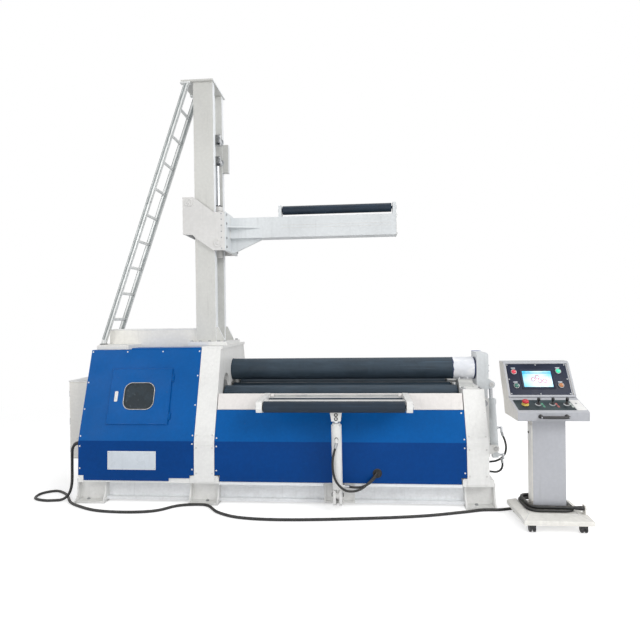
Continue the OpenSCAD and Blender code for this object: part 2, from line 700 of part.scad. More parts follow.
// Front rail, with its wide sloping bevel
front_rail = [[-1090, rail_low_z], [-1090, 90], [-1084, 95], [-985, deck_z], [-975, deck_z], [-975, rail_low_z]];
module console_base() color("whitesmoke") {
    x0 = console_x - 248;
    x1 = console_x + 252;
    along_x(x0, x1) polygon(front_rail);
    for (side = [0, 1]) translate([side ? x1 : x0, 0, 0]) mirror([side, 0, 0]) along_y(-976, -655)
        polygon([[0, rail_low_z], [0, 90], [8, 95], [70, deck_z], [78, deck_z], [78, rail_low_z]]);
    block([x0 + 70, -976, rail_low_z], [x1 - 70, -690, deck_z]);
    // Bracket that holds the cable's end
    block([cable_end[0], cable_end[1] - 25, rail_low_z + 20], [cable_end[0] + 6, cable_end[1] + 25, cable_end[2] + 24]);
}

module console_casters() color([0.1, 0.1, 0.1]) {
    for (x = [console_x - 183, console_x + 188]) for (y = [-1050, -690]) {
        for (side = [-1, 1]) bar_x(x + side * 15 - 8, x + side * 15 + 8, 27, y, 27);
        bar_x(x - 24, x + 24, 6, y, 27);
        block([x - 6, y - 18, 24], [x + 6, y + 18, rail_low_z]);
    }
}

/* ---- cable ---- */
cable_r = 12;
gland_tip = [-2338, -600, 522];
cable_end = [1880, -935, 137];    // where the cable's far end meets its gland
coil_middle = [1646, -798];
coil_low = deck_z;
coil_high = 153;

module cable_gland() color([0.1, 0.1, 0.1]) {
    bar_x(drive_end_x - 20, drive_end_x, 30, gland_tip[1], gland_tip[2]);
    bar_x(drive_end_x - 38, drive_end_x - 19, 24, gland_tip[1], gland_tip[2]);
    bar_x(gland_tip[0], drive_end_x - 37, 17, gland_tip[1], gland_tip[2]);
    // The far end's gland, on the bracket of the console's foot
    bar_x(cable_end[0] - 22, cable_end[0], 17, cable_end[1], cable_end[2]);
    bar_x(cable_end[0] + 6, cable_end[0] + 12, 17, cable_end[1], cable_end[2]);
}

// Route of the cable's middle line from the gland to the coil on the console's foot
cable_route = [[-2334, -600, 522], [-2358, -600, 517], [-2382, -600, 496], [-2395, -600, 460],
    [-2399, -600, 320], [-2402, -600, 180], [-2416, -603, 98], [-2448, -609, 42], [-2510, -618, 13],
    [-2640, -632, 12.5], [-2765, -580, 12.5], [-2785, -465, 12.5], [-2690, -392, 12.5], [-2575, -445, 12.5],
    [-2480, -538, 12.5], [-2378, -664, 12.5], [-2257, -745, 12.5], [-2070, -828, 12.5], [-1860, -856, 12.5],
    [-1650, -846, 12.5], [-1520, -806, 12.5], [-1400, -706, 12.5], [-1275, -670, 12.5], [-1140, -680, 12.5],
    [-1000, -825, 12.5], [-800, -922, 12.5], [-430, -950, 12.5], [240, -893, 12.5], [700, -822, 12.5],
    [1045, -726, 12.5], [1185, -683, 12.5], [1325, -670, 12.5], [1445, -638, 12.5], [1570, -616, 12.5],
    [1638, -616, 12.8], [1666, -619, 20], [1690, -627, 46],
    [1690, -637, 84], [1666, -646, 110], [1638, -651, 117.2], [1600, -652, 117.5]];

// Route of its far end, from the coil's front to the gland on the console's foot
end_route = [[1720, -931, 140], [1790, -933, 139], [1860, -935, 137]];

function tangent(p, i) = let (a = p[max(i - 1, 0)], b = p[min(i + 1, len(p) - 1)]) (b - a) / norm(b - a);
function ring(p, i, r, n) = let (
    t = tangent(p, i),
    side = let (s = cross(t, [0, 0.2, 0.98])) s / norm(s),
    up = cross(side, t))
    [for (k = [0:n - 1]) p[i] + r * (cos(360 * k / n) * side + sin(360 * k / n) * up)];

// A tube swept along a list of points
module swept_tube(p, r, n = 8) {
    m = len(p);
    points = [for (i = [0:m - 1]) each ring(p, i, r, n)];
    sides = [for (i = [0:m - 2]) for (k = [0:n - 1]) each let (
        a = i * n + k, b = i * n + (k + 1) % n)
        [[a, a + n, b + n], [a, b + n, b]]];
    first = [for (k = [0:n - 1]) k];
    last = [for (k = [n - 1:-1:0]) (m - 1) * n + k];
    polyhedron(points, concat(sides, [first, last]), convexity = 6);
}

module control_cable() color([0.05, 0.05, 0.05]) {
    swept_tube(cable_route, cable_r);
    swept_tube(end_route, cable_r);
}

// A rectangle with round corners, given by its half sizes
module round_rectangle(half_x, half_y, r) {
    square([2 * half_x, 2 * (half_y - r)], center = true);
    square([2 * (half_x - r), 2 * half_y], center = true);
    for (x = [-1, 1]) for (y = [-1, 1]) translate([x * (half_x - r), y * (half_y - r)]) circle(r);
}

// The cable's three turns round the console's post, as one solid
module cable_coil() color([0.05, 0.05, 0.05])
    translate([coil_middle[0], coil_middle[1], coil_low]) linear_extrude(coil_high - coil_low) difference() {
        round_rectangle(179, 159, 90);
        round_rectangle(127, 107, 15);
    }

table_hose_a = [[-4, -896, 608], [-9, -892, 585], [-20, -884, 545], [-33, -874, 490], [-38, -863, 420],
    [-32, -853, 350], [-13, -846, 290], [24, -840, 240], [71, -832, 208], [130, -818, 200], [190, -798, 213],
    [246, -766, 246], [294, -732, 286], [322, -708, 315], [332, -682, 330]];
table_hose_b = [[52, -788, 230], [78, -788, 229], [120, -787, 222], [180, -776, 219], [238, -751, 231],
    [285, -724, 258], [316, -703, 291], [330, -676, 298]];
module table_hoses() color([0.05, 0.05, 0.05]) {
    swept_tube(table_hose_a, 9);
    swept_tube(table_hose_b, 9);
}

yoke_hose_a = [[1543, 0, 500], [1551, 1, 470], [1572, 6, 420], [1586, 14, 350], [1578, 22, 290],
    [1548, 28, 244], [1500, 30, 216], [1440, 30, 205], [1394, 27, 205], [1355, 23, 206]];
yoke_hose_b = [[1540, 0, 244], [1544, -1, 215], [1545, -5, 180], [1528, -10, 142], [1490, -14, 122],
    [1440, -16, 123], [1402, -18, 131], [1367, -20, 136]];
module yoke_hoses() color([0.05, 0.05, 0.05]) {
    swept_tube(yoke_hose_a, 9);
    swept_tube(yoke_hose_b, 9);
}

base_beams();
base_feet();
drive_housing();
drive_covers();
access_door();
left_frame();
right_frame();
middle_panels();
cross_beams();
frame_cap();
top_roll();
bottom_roll();
bottom_roll_blocks();
front_side_roll();
front_roll_blocks();
rear_side_roll();
rear_roll_blocks();
yoke_bracket();
drop_end_yoke();
yoke_cylinder();
yoke_fittings();
yoke_rod();
column();
lift_rod();
carriage();
lift_cylinder();
overhead_arm();
arm_roller();
ladder();
top_box();
electrical_cabinet();
table_frame();
table_front_roller();
table_rear_roller();
table_cylinder();
table_rod();
console_desk();
console_post();
console_base();
console_casters();
cable_gland();
control_cable();
cable_coil();
table_hoses();
yoke_hoses();
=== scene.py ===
"""Looks of the plate rolling machine: finishes for every CAD node, and the pieces that the CAD leaves out.

Shapes are worked out in millimetres and made in metres. A shape is (points, faces), where faces is a
list of index arrays, one for each number of corners.
"""

import bmesh
import bpy
import numpy as np
from mathutils import Matrix


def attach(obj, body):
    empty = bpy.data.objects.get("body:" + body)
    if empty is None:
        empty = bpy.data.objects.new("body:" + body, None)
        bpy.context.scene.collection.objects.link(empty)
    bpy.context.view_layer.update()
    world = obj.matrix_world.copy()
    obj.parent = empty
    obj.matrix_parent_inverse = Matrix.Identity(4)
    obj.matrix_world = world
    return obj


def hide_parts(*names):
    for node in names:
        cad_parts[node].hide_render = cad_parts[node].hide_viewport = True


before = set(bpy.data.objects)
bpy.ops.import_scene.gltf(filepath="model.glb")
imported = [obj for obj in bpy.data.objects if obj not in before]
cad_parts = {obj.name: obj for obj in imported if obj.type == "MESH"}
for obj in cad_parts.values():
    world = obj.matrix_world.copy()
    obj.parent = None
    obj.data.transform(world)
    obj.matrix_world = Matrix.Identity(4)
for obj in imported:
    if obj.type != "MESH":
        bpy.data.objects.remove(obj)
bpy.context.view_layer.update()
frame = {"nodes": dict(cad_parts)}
nodes = frame["nodes"]
scene = bpy.context.scene
scene.view_settings.view_transform = "Standard"
MM = 0.001


def vec(*values):
    """The values as an array of floats."""
    return np.array(values, float)


def unit(v):
    """Vectors over their lengths."""
    return v / np.linalg.norm(v, axis=-1, keepdims=True)


def stand(thing, right, up, back, at):
    """Puts a camera or a lamp at a place, its axes along right, up and back."""
    pose = np.eye(4)
    pose[:3] = np.column_stack([right, up, back, at])
    thing.matrix_world = Matrix(pose.tolist())
    scene.collection.objects.link(thing)


# ---- camera ----
YAW, PITCH, BANK = 0.0781, -0.0019, -0.0135
ahead = vec(-np.sin(YAW) * np.cos(PITCH), np.cos(YAW) * np.cos(PITCH), np.sin(PITCH))
level = vec(np.cos(YAW), np.sin(YAW), 0)
above = np.cross(level, ahead)
right, up = np.cos(BANK) * level + np.sin(BANK) * above, np.cos(BANK) * above - np.sin(BANK) * level
camera = bpy.data.objects.new("camera", bpy.data.cameras.new("camera"))
camera.data.sensor_width, camera.data.lens, camera.data.clip_end = 36, 27.3, 60
stand(camera, right, up, -ahead, (0.1824, -4.7764, 1.6064))
scene.camera = camera


# ---- shapes ----
def join(*shapes):
    """Several shapes as one."""
    points, faces, count = [], [], 0
    for p, f in shapes:
        points.append(p)
        faces += [g + count for g in f]
        count += len(p)
    return np.concatenate(points), faces


def grid(rows, cols, round_rows=False):
    """Quads between rows x cols points. Each row closes on itself, and so may the rows."""
    i = np.arange(rows if round_rows else rows - 1)[:, None]
    j = np.arange(cols)[None]
    i2, j2 = (i + 1) % rows, (j + 1) % cols
    return np.stack([i * cols + j, i * cols + j2, i2 * cols + j2, i2 * cols + j], -1).reshape(-1, 4)


def capped(rings):
    """Rings of points (rows, cols, 3) as a closed skin with a flat face at each end."""
    rows, cols = rings.shape[:2]
    last = (rows - 1) * cols + np.arange(cols)
    return rings.reshape(-1, 3), [grid(rows, cols), np.arange(cols)[None, ::-1], last[None]]


def looped(rings):
    """Rings of points as a closed skin whose last ring joins the first."""
    return rings.reshape(-1, 3), [grid(*rings.shape[:2], round_rows=True)]


def lifted(flat, height):
    """Flat rings of points, each at its height."""
    return np.concatenate([flat, np.broadcast_to(height[:, None, None], flat.shape[:2] + (1,))], -1)


def spun(profile, n):
    """Rings of n points for (radius, height) pairs: P(i, t) = (r_i cos t, r_i sin t, z_i)."""
    r, z = np.array(profile, float).T
    t = np.arange(n) * 2 * np.pi / n
    return np.stack([np.outer(r, np.cos(t)), np.outer(r, np.sin(t)), np.outer(z, np.ones(n))], -1)


def lathe(profile, n=32):
    """(radius, height) pairs turned round Z as a closed skin. A radius of 0 at an end is a pole."""
    p = np.array(profile, float)
    poles = p[0, 0] == 0, p[-1, 0] == 0
    points, (skin, *ends) = capped(spun(p[int(poles[0]) : len(p) - int(poles[1])], n))
    faces = [skin]
    for pole, loop, z in zip(poles, ends, p[[0, -1], 1]):
        if pole:
            points = np.vstack([points, [[0, 0, z]]])
            loop = np.stack([loop[0], np.roll(loop[0], -1), np.full(n, len(points) - 1)], 1)
        faces.append(loop)
    return points, faces


def hoop(section, n=48):
    """A closed section of (radius, height) pairs turned round Z, as a ring with an open middle."""
    return looped(spun(section, n))


def inwards(outline):
    """For each corner of a counter-clockwise outline, the step that moves both its sides in by 1."""
    along = unit(np.roll(outline, -1, 0) - outline)
    normal = np.stack([-along[:, 1], along[:, 0]], 1)
    before = np.roll(normal, 1, 0)
    return (normal + before) / (1 + (normal * before).sum(1))[:, None]


def skirt(outline, section):
    """A section of (inset, height) pairs carried round an outline.

    P(i, j) = (outline_j + inset_i inwards_j, height_i).
    """
    outline, section = np.array(outline, float), np.array(section, float)
    return lifted(outline + section[:, 0, None, None] * inwards(outline), section[:, 1])


def slab(outline, depth, bevel=1.0, low=-0.5):
    """An outline raised from low to depth, its upper edge rounded by bevel."""
    a = np.linspace(0, np.pi / 2, 4)
    edge = np.stack([bevel * (1 - np.cos(a)), depth - bevel + bevel * np.sin(a)], 1)
    return capped(skirt(outline, np.vstack([[0, low], edge])))


def plate(w, h, r, n, depth, bevel, low=-0.5):
    """A slab with round corners of radius r."""
    return slab(rectangle(w, h, r, n), depth, bevel, low)


def rim(outline, section):
    """A closed section of (inset, height) pairs carried round an outline, as a frame."""
    return looped(skirt(outline, section))


def rectangle(w, h, r=0.0, n=6):
    """A counter-clockwise rectangle about the origin with round corners of radius r."""
    if r == 0:
        return vec(-w, -h, w, -h, w, h, -w, h).reshape(4, 2) / 2
    a = np.linspace(0, np.pi / 2, n)
    arc = np.stack([np.cos(a), np.sin(a)], 1) * r
    spin = [vec(-1, 0, 0, -1), vec(0, -1, 1, 0), vec(1, 0, 0, 1), vec(0, 1, -1, 0)]
    middle = vec(-1, -1, 1, -1, 1, 1, -1, 1).reshape(4, 2) * vec(w / 2 - r, h / 2 - r)
    return np.concatenate([m + arc @ s.reshape(2, 2) for m, s in zip(middle, spin)])


def bar(low, high, bevel=1.5):
    """A box between two corners, its upper and lower edges along Z eased by bevel."""
    low, high = vec(*low), vec(*high)
    size, middle = high - low, (low + high) / 2
    outline = rectangle(size[0], size[1], min(bevel, size[0] / 3, size[1] / 3), 3) + middle[:2]
    b = min(bevel, size[2] / 3)
    section = [(b, low[2]), (0, low[2] + b), (0, high[2] - b), (b, high[2])]
    return capped(skirt(outline, section))


def curve(points, step):
    """Hermite curve through points with centred tangents, sampled about step apart.

    P(u) = h00 a + h10 d ma + h01 b + h11 d mb between neighbours a and b, d apart, with tangents ma and mb.
    """
    p = np.array(points, float)
    s = np.concatenate([[0], np.cumsum(np.linalg.norm(np.diff(p, axis=0), axis=1))])
    i = np.arange(len(p))
    lo, hi = np.maximum(i - 1, 0), np.minimum(i + 1, len(p) - 1)
    m = (p[hi] - p[lo]) / (s[hi] - s[lo])[:, None]
    at = np.linspace(0, s[-1], int(s[-1] / step) + 2)
    k = np.clip(np.searchsorted(s, at, side="right") - 1, 0, len(p) - 2)
    d = (s[k + 1] - s[k])[:, None]
    u = (at - s[k])[:, None] / d
    return (
        (2 * u**3 - 3 * u**2 + 1) * p[k]
        + (u**3 - 2 * u**2 + u) * d * m[k]
        + (3 * u**2 - 2 * u**3) * p[k + 1]
        + (u**3 - u**2) * d * m[k + 1]
    )


def sideways(along):
    """The direction square to a cord or bead and to a near-upright one that none of them runs along."""
    return unit(np.cross(along, vec(0, 0.2, 0.98)))


def tube(path, radius, n=12):
    """A round section carried along a path: P(i, t) = path_i + r_i (cos t side_i + sin t up_i)."""
    tangent = unit(np.gradient(path, axis=0))
    side = sideways(tangent)
    up = np.cross(side, tangent)
    t = (np.arange(n) * 2 * np.pi / n)[None, :, None]
    r = np.broadcast_to(radius, len(path))[:, None, None]
    return capped(path[:, None] + r * (np.cos(t) * side[:, None] + np.sin(t) * up[:, None]))


def placed(shape, origin, u, v, w):
    """A shape drawn in (u, v, w) put into the part's frame."""
    return shape[0] @ np.stack([u, v, w]) + vec(*origin), shape[1]


def copies(shape, places):
    """The same shape at each place."""
    return join(*[(shape[0] + vec(*place), shape[1]) for place in places])


def mirrored(shape):
    """The shape on the other side of the middle plane."""
    return shape[0] * vec(1, -1, 1), [f[:, ::-1] for f in shape[1]]


def both(shape):
    """The shape and its mirror image."""
    return join(shape, mirrored(shape))


def circle(count, r, start, height, middle=(0, 0)):
    """Places spaced evenly round a middle, the first at the angle start."""
    a = start + np.arange(count) * 2 * np.pi / count
    return np.column_stack([middle[0] + r * np.cos(a), middle[1] + r * np.sin(a), np.full(count, height)])


X, Y, Z = np.eye(3)
ORIGIN = (0, 0, 0)
SIDES = (-1, 1)


def front_face(x, y, z, sine, cosine):
    """A face that looks to the front and leans back, as (origin, right, up, outwards)."""
    return (x, y, z), X, vec(0, sine, cosine), vec(0, -cosine, sine)


# The covers' profile as (y, z): the foot, the bend and the top of the slope
foot, bend, ridge = vec(-700, 221), vec(-687, 566), vec(-440, 1346)
SLOPE = front_face(0, *bend, *unit(ridge - bend))
LOWER = front_face(0, *foot, *unit(bend - foot))
FRONT = (ORIGIN, X, Z, -Y)
RIGHT = (ORIGIN, Y, Z, X)
LEFT = (ORIGIN, -Y, Z, -X)
TOP = (ORIGIN, X, Y, Z)
CONSOLE_X = 1638
FASCIA = front_face(CONSOLE_X, -785, 958, 0.4831, 0.8755)
DESK = front_face(CONSOLE_X, -1000, 887, 0.9496, 0.3136)


def on(face, shape, *places):
    """Copies of a shape on a face, at (right, up, outwards)."""
    return placed(copies(shape, places), *face)


def piece(name, shape, finish, body="machine", sharp=35, slot=None):
    """A mesh object in metres with its finish's material, that rides on a body. The slot argument is not used.

    Edges that turn by more than sharp degrees stay sharp.
    """
    slot = slot or finish.slot
    points, faces = shape
    mesh = bpy.data.meshes.new(name)
    mesh.from_pydata((points * MM).tolist(), [], [f for g in faces for f in g.tolist()])
    work = bmesh.new()
    work.from_mesh(mesh)
    bmesh.ops.recalc_face_normals(work, faces=work.faces)
    work.to_mesh(mesh)
    work.free()
    mesh.shade_smooth()
    mesh.set_sharp_from_angle(angle=np.radians(sharp))
    mesh.materials.append(finish.material)
    thing = bpy.data.objects.new(name, mesh)
    scene.collection.objects.link(thing)
    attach(thing, body)
    return thing


# ---- finishes ----
def rgb(r, g, b):
    """A display colour of 0 to 255 as the linear colour that a shader takes."""
    c = vec(r, g, b) / 255
    return (*np.where(c <= 0.04045, c / 12.92, ((c + 0.055) / 1.055) ** 2.4), 1.0)


def scaled(colour, by):
    """A display colour by times as bright, up to white."""
    return [min(255, c * by) for c in colour]


class Wire:
    """A socket in a node tree, so that shader maths reads as an expression."""

    def __init__(self, nodes, socket):
        self.nodes, self.socket = nodes, socket

    def maths(self, operation, *values):
        """A Math node on values or wires."""
        return self.nodes.node("Math", *values, operation=operation)

    def __add__(self, other):
        return self.maths("ADD", self, other)

    def __sub__(self, other):
        return self.maths("SUBTRACT", self, other)

    def __rsub__(self, other):
        return self.maths("SUBTRACT", other, self)

    def __mul__(self, other):
        return self.maths("MULTIPLY", self, other)

    __radd__, __rmul__ = __add__, __mul__

    def size(self):
        """The value without its sign."""
        return self.maths("ABSOLUTE", self)

    def step(self, low, high):
        """0 below low, 1 above high, smooth between."""
        return self.nodes.node("MapRange", self, low, high, 0, 1, interpolation_type="SMOOTHSTEP")


class Nodes:
    """The node tree of a material or a world."""

    def __init__(self, owner):
        owner.use_nodes = True
        self.tree = owner.node_tree

    def feed(self, socket, value):
        """Links a wire to a socket, or sets the socket to a value."""
        if isinstance(value, Wire):
            self.tree.links.new(value.socket, socket)
        elif value is not None:
            socket.default_value = value

    def node(self, kind, *values, out=0, inputs=None, **settings):
        """Adds a node: settings first, then values or wires for its sockets, in order or by name."""
        n = self.tree.nodes.new("ShaderNode" + kind)
        for key, value in settings.items():
            setattr(n, key, value)
        for socket, value in zip(n.inputs, values):
            self.feed(socket, value)
        for key, value in (inputs or {}).items():
            self.feed(n.inputs[key], value)
        return Wire(self, n.outputs[out])

    def parts(self, wire):
        """The three numbers of a vector."""
        split = self.node("SeparateXYZ", wire).socket.node
        return [Wire(self, socket) for socket in split.outputs]

    def seen(self):
        """1 for the rays that show the background: camera, glossy and transmission, added and clamped."""
        rays = self.node("LightPath").socket.node.outputs
        kinds = ("Camera", "Glossy", "Transmission")
        camera, glossy, through = (Wire(self, rays[f"Is {kind} Ray"]) for kind in kinds)
        return self.node("Math", camera + glossy, through, operation="ADD", use_clamp=True)


class Finish(Nodes):
    """A Principled material. Constants sit on the shader's own sockets; wires feed what varies."""

    def __init__(self, name, slot, **constants):
        self.material, self.slot = bpy.data.materials.new(name), slot
        super().__init__(self.material)
        self.shader = next(n for n in self.tree.nodes if n.type == "BSDF_PRINCIPLED")
        self.where = self.node("TexCoord", out=3)
        self.x, self.y, self.z = self.parts(self.where)
        self.across, _, self.up = self.parts(self.node("NewGeometry", out=1))
        self.set(**constants)

    def set(self, **values):
        """Feeds the shader's sockets by name, with _ for a space."""
        for key, value in values.items():
            self.feed(self.shader.inputs[key.replace("_", " ")], value)
        return self

    def noise(self, scale, detail=2, stretch=(1, 1, 1), rough=0.5, twist=0.0, shift=0.0):
        """Fractal noise of about 0.25 to 0.75, its grain 1 / scale metres, squeezed by stretch."""
        at = self.node("VectorMath", self.where, stretch, operation="MULTIPLY")
        at = self.node("VectorMath", at, (shift, shift, shift), operation="ADD")
        return self.node(
            "TexNoise", at, inputs={"Scale": scale, "Detail": detail, "Roughness": rough, "Distortion": twist}
        )

    def mix(self, factor, a, b):
        """a where factor is 0, b where it is 1. Each is a display colour or a wire."""
        n = self.node("Mix", data_type="RGBA").socket.node
        self.feed(n.inputs[0], factor)
        for index, colour in ((6, a), (7, b)):
            self.feed(n.inputs[index], colour if isinstance(colour, Wire) else rgb(*colour))
        return Wire(self, n.outputs[2])

    def bumps(self, *layers):
        """Layers of (height, distance in metres, strength), laid over each other."""
        normal = None
        for height, distance, strength in layers:
            normal = self.node(
                "Bump", inputs={"Strength": strength, "Distance": distance, "Height": height, "Normal": normal}
            )
        return self.set(Normal=normal)


def paint(
    name, colour, rough=0.42, shade=0.93, wave=0.0, soil=0.15, gloss=0.5, painted_shade_below=None, painted_lit_side=None, slot="grey_paint"
):
    """Sprayed paint: cloudy tone, orange peel, wipe marks, dust, dirt near the floor and small chips.

    The colour under a bend, given with its height, is a darker tone: painted shade on the lower faces. The colour
    for what faces sideways is lighter: painted light.
    """
    f = Finish(name, slot, IOR=1.5, Specular_IOR_Level=gloss)
    base = colour
    # Painted shade: under the bend the colour turns darker, standing in for the lower faces' shade.
    if painted_shade_below:
        base = f.mix(f.z.step(painted_shade_below[0] - 0.004, painted_shade_below[0] + 0.004), painted_shade_below[1], base)
    # Painted light: faces that look sideways take a lighter colour, as if lit from the side.
    if painted_lit_side:
        base = f.mix(f.across.size().step(0.6, 0.8), base, painted_lit_side)
    cloud = f.noise(1.6, 4).step(0.3, 0.7)
    fine = f.noise(38, 3).step(0.35, 0.75)
    mottle = (1 - cloud * 0.65 - fine * 0.35) * (1 - shade**2.2)
    tone = f.mix(mottle, base, (0, 0, 0))
    runs = f.noise(7, 3, stretch=(5, 5, 0.35)).step(0.56, 0.78) * 0.16
    tone = f.mix(runs, tone, scaled(colour, 0.72))
    dust = f.up.step(0.55, 0.95) * f.noise(9, 5).step(0.3, 0.75) * 0.18
    tone = f.mix(dust, tone, (190, 187, 180))
    low = (1 - f.z.step(0.0, 0.3)) * f.noise(16, 6, rough=0.65).step(0.42, 0.72) * soil
    tone = f.mix(low, tone, (150, 146, 138))
    chip = f.noise(55, 4, rough=0.7, shift=7.0).step(0.715, 0.735) * 0.7
    tone = f.mix(chip, tone, (92, 84, 78))
    f.set(
        Base_Color=tone,
        Roughness=f.noise(5, 5).step(0.2, 0.8) * 0.16 + (rough - 0.08) + dust * 0.5 + low * 0.2,
    )
    peel = f.noise(330, 2)
    return f.bumps(
        (f.noise(4.5, 2), 0.004, wave), (peel, 0.0003, 0.35), (chip, 0.0004, -0.6), (f.noise(70, 3), 0.0006, 0.2)
    )


def rolled(name, dark, light, rough, metal):
    """Turned roll steel: fine marks round the roll, scuffs along it and a thin film of oil."""
    f = Finish(name, "block_steel", Specular_IOR_Level=0.3)
    marks = f.noise(1, 3, stretch=(420, 1.5, 1.5))
    scuff = f.noise(1, 5, stretch=(3.2, 16, 16), rough=0.6).step(0.42, 0.72)
    scale = f.noise(6, 6, rough=0.62, twist=0.8).step(0.35, 0.68)
    scratch = f.noise(1, 2, stretch=(1.4, 130, 130)).step(0.66, 0.72)
    tone = f.mix(scale, dark, 0.55 * vec(*dark) + 0.45 * vec(*light))
    tone = f.mix(scuff * 0.55, tone, light)
    tone = f.mix(scratch * 0.5, tone, scaled(light, 1.35))
    f.set(Base_Color=tone, Metallic=metal, Roughness=marks * 0.16 + scale * 0.14 + (rough - 0.12))
    return f.bumps((marks, 0.0003, 0.5), (scratch, 0.0004, -0.4), (scale, 0.0008, 0.3))


def bright(name, colour, rough, grain, metal=1.0, stain=0.25, slot="rod_chrome"):
    """Bare metal: drawn grain, stains and small nicks."""
    f = Finish(name, slot)
    lines = f.noise(1, 3, stretch=grain)
    patch = f.noise(11, 5, rough=0.6).step(0.4, 0.75)
    nick = f.noise(140, 2).step(0.68, 0.72)
    tone = f.mix(lines.step(0.25, 0.75), scaled(colour, 0.88), colour)
    tone = f.mix(patch * stain, tone, scaled(colour, 0.62))
    f.set(Base_Color=tone, Metallic=metal, Roughness=lines * 0.14 + patch * 0.1 + (rough - 0.1))
    return f.bumps((lines, 0.0002, 0.5), (nick, 0.0003, -0.4))


def moulded(name, colour, rough=0.5, grain=520, dust=0.25, slot="black_plastic"):
    """Moulded plastic or rubber: fine pebble, bloom and dust."""
    f = Finish(name, slot)
    pebble = f.noise(grain, 2)
    bloom = f.noise(13, 5, rough=0.6).step(0.4, 0.75)
    tone = f.mix(bloom * 0.5, colour, [c * 1.25 + 9 for c in colour])
    tone = f.mix(f.up.step(0.35, 0.9) * f.noise(30, 4).step(0.3, 0.7) * dust, tone, (150, 144, 134))
    f.set(Base_Color=tone, Roughness=bloom * 0.14 + pebble * 0.1 + (rough - 0.1))
    return f.bumps((pebble, 0.0003, 0.45), (f.noise(60, 3), 0.0006, 0.25))


def coated(name, dark, light, grain, cloud, gloss):
    """A coated panel: fine speck and a faint bloom."""
    f = Finish(name, "black_plastic", Specular_IOR_Level=gloss)
    speck = f.noise(grain, 2)
    mist = f.noise(cloud, 4).step(0.35, 0.7)
    f.set(Base_Color=f.mix(mist, dark, light), Roughness=mist * 0.12 + speck * 0.1 + 0.3)
    return f.bumps((speck, 0.0002, 0.4))


def lens(name, colour, glow):
    """A lamp's lit plastic lens with small facets."""
    f = Finish(name, "black_plastic", Coat_Weight=0.6, Coat_Roughness=0.08, Emission_Strength=glow)
    facet = f.noise(260, 2)
    tone = f.mix(facet.step(0.4, 0.7), scaled(colour, 0.8), colour)
    f.set(Base_Color=tone, Emission_Color=tone, Roughness=facet * 0.2 + 0.12)
    return f.bumps((facet, 0.0003, 0.4))


WHITE = paint("white_paint", (240, 240, 238), slot="white_paint")
CREAM = paint("cream_paint", (244, 242, 236), slot="cream_paint")
GREY = paint("grey_paint", (224, 223, 221))
# A whiter copy of the frames' white for the base beams: painted light against the shade under the covers' sill.
BEAM_PAINTED_LIGHT = paint("beam_painted_light", (248, 250, 252))
COOL = paint("cool_paint", (224, 228, 230))
WARM = paint("warm_paint", (238, 234, 231))
# The console's front faces are painted grey as shade on its cream paint, and its sideways faces cream: painted
# shade and light.
SHADED = paint("console_painted_shade", (182, 184, 190), painted_lit_side=(240, 236, 228))
# The column's faces that look sideways are painted a bluish white: painted light from the right.
BEIGE = paint("column_paint", (213, 213, 209), 0.45, painted_lit_side=(246, 249, 252))
# The blue covers are painted darker under the bend, as painted shade on the lower faces.
BLUE = paint(
    "blue_paint", (0, 92, 168), 0.36, shade=0.9, wave=0.35, soil=0.12, gloss=0.1,
    painted_shade_below=(bend[1] * MM, (0, 66, 138)), slot="blue_paint",
)
TRIM_BLUE = paint("trim_blue", (16, 62, 150), 0.36, slot="blue_paint")
NAME_PLATE = paint("name_plate", (214, 222, 230), 0.3, shade=0.95, soil=0.1, slot="white_paint")
LABEL = paint("label", (190, 196, 204), 0.4, soil=0.0)
ROLL = rolled("roll_steel", (44, 57, 68), (62, 77, 90), 0.54, 0.0)
BLOCK = rolled("block_steel", (150, 152, 152), (198, 198, 194), 0.42, 0.6)
ROLLER = rolled("roller_coating", (20, 34, 48), (36, 52, 68), 0.5, 0.0)
CHROME = bright("rod_chrome", (214, 216, 219), 0.16, (9, 9, 260), stain=0.12)
ZINC = bright("zinc_plate", (186, 188, 190), 0.34, (60, 60, 60), stain=0.35)
drawn = {"grain": (130, 130, 5), "metal": 0.3, "slot": "ladder_aluminium"}
ALLOY = bright("ladder_aluminium", (232, 234, 233), 0.42, stain=0.12, **drawn)
# A darker copy of the ladder's aluminium for the rails' lips: painted shade along the rails' edges.
RAIL_PAINTED_SHADE = bright("rail_edge_painted_shade", (150, 156, 156), 0.46, stain=0.2, **drawn)
RUBBER = moulded("black_rubber", (16, 17, 18), slot="black_rubber")
BAND = moulded("band_tape", (26, 40, 84), 0.4, 300, 0.05, slot="black_rubber")
PLASTIC = moulded("black_plastic", (27, 27, 30), 0.42, 700, 0.15)
INK = moulded("screen_ink", (206, 74, 104), 0.4, 300, 0.0)
YELLOW = moulded("stop_collar", (214, 190, 96), 0.45, 500, 0.1)
RED = moulded("stop_button", (186, 34, 48), 0.35, 500, 0.1)
FACE = coated("console_fascia", (16, 24, 46), (26, 35, 58), 700, 9, 0.25)
DARK = coated("console_panel", (34, 46, 50), (62, 76, 78), 600, 8, 0.3)

GLASS = Finish("window_glass", "black_plastic", IOR=1.5, Specular_IOR_Level=0.12)
smear = GLASS.noise(6, 5, stretch=(1, 2.5, 1)).step(0.35, 0.7)
spots = GLASS.noise(34, 3).step(0.6, 0.7)
inner = GLASS.noise(11, 3, twist=0.6).step(0.45, 0.65)
GLASS.set(
    Base_Color=GLASS.mix(spots * 0.3, GLASS.mix(inner * 0.5, (22, 36, 44), (36, 52, 62)), (80, 92, 100)),
    Roughness=smear * 0.16 + 0.05,
)
GLASS.bumps((smear, 0.0006, 0.25))

FILM = Finish("packing_film", "white_paint", IOR=1.5, Coat_Weight=0.3, Coat_Roughness=0.15)
crease = FILM.noise(13, 4, stretch=(0.5, 1, 1), rough=0.5, twist=1.2)
ply = FILM.noise(1, 3, stretch=(26, 4, 4), twist=0.8)
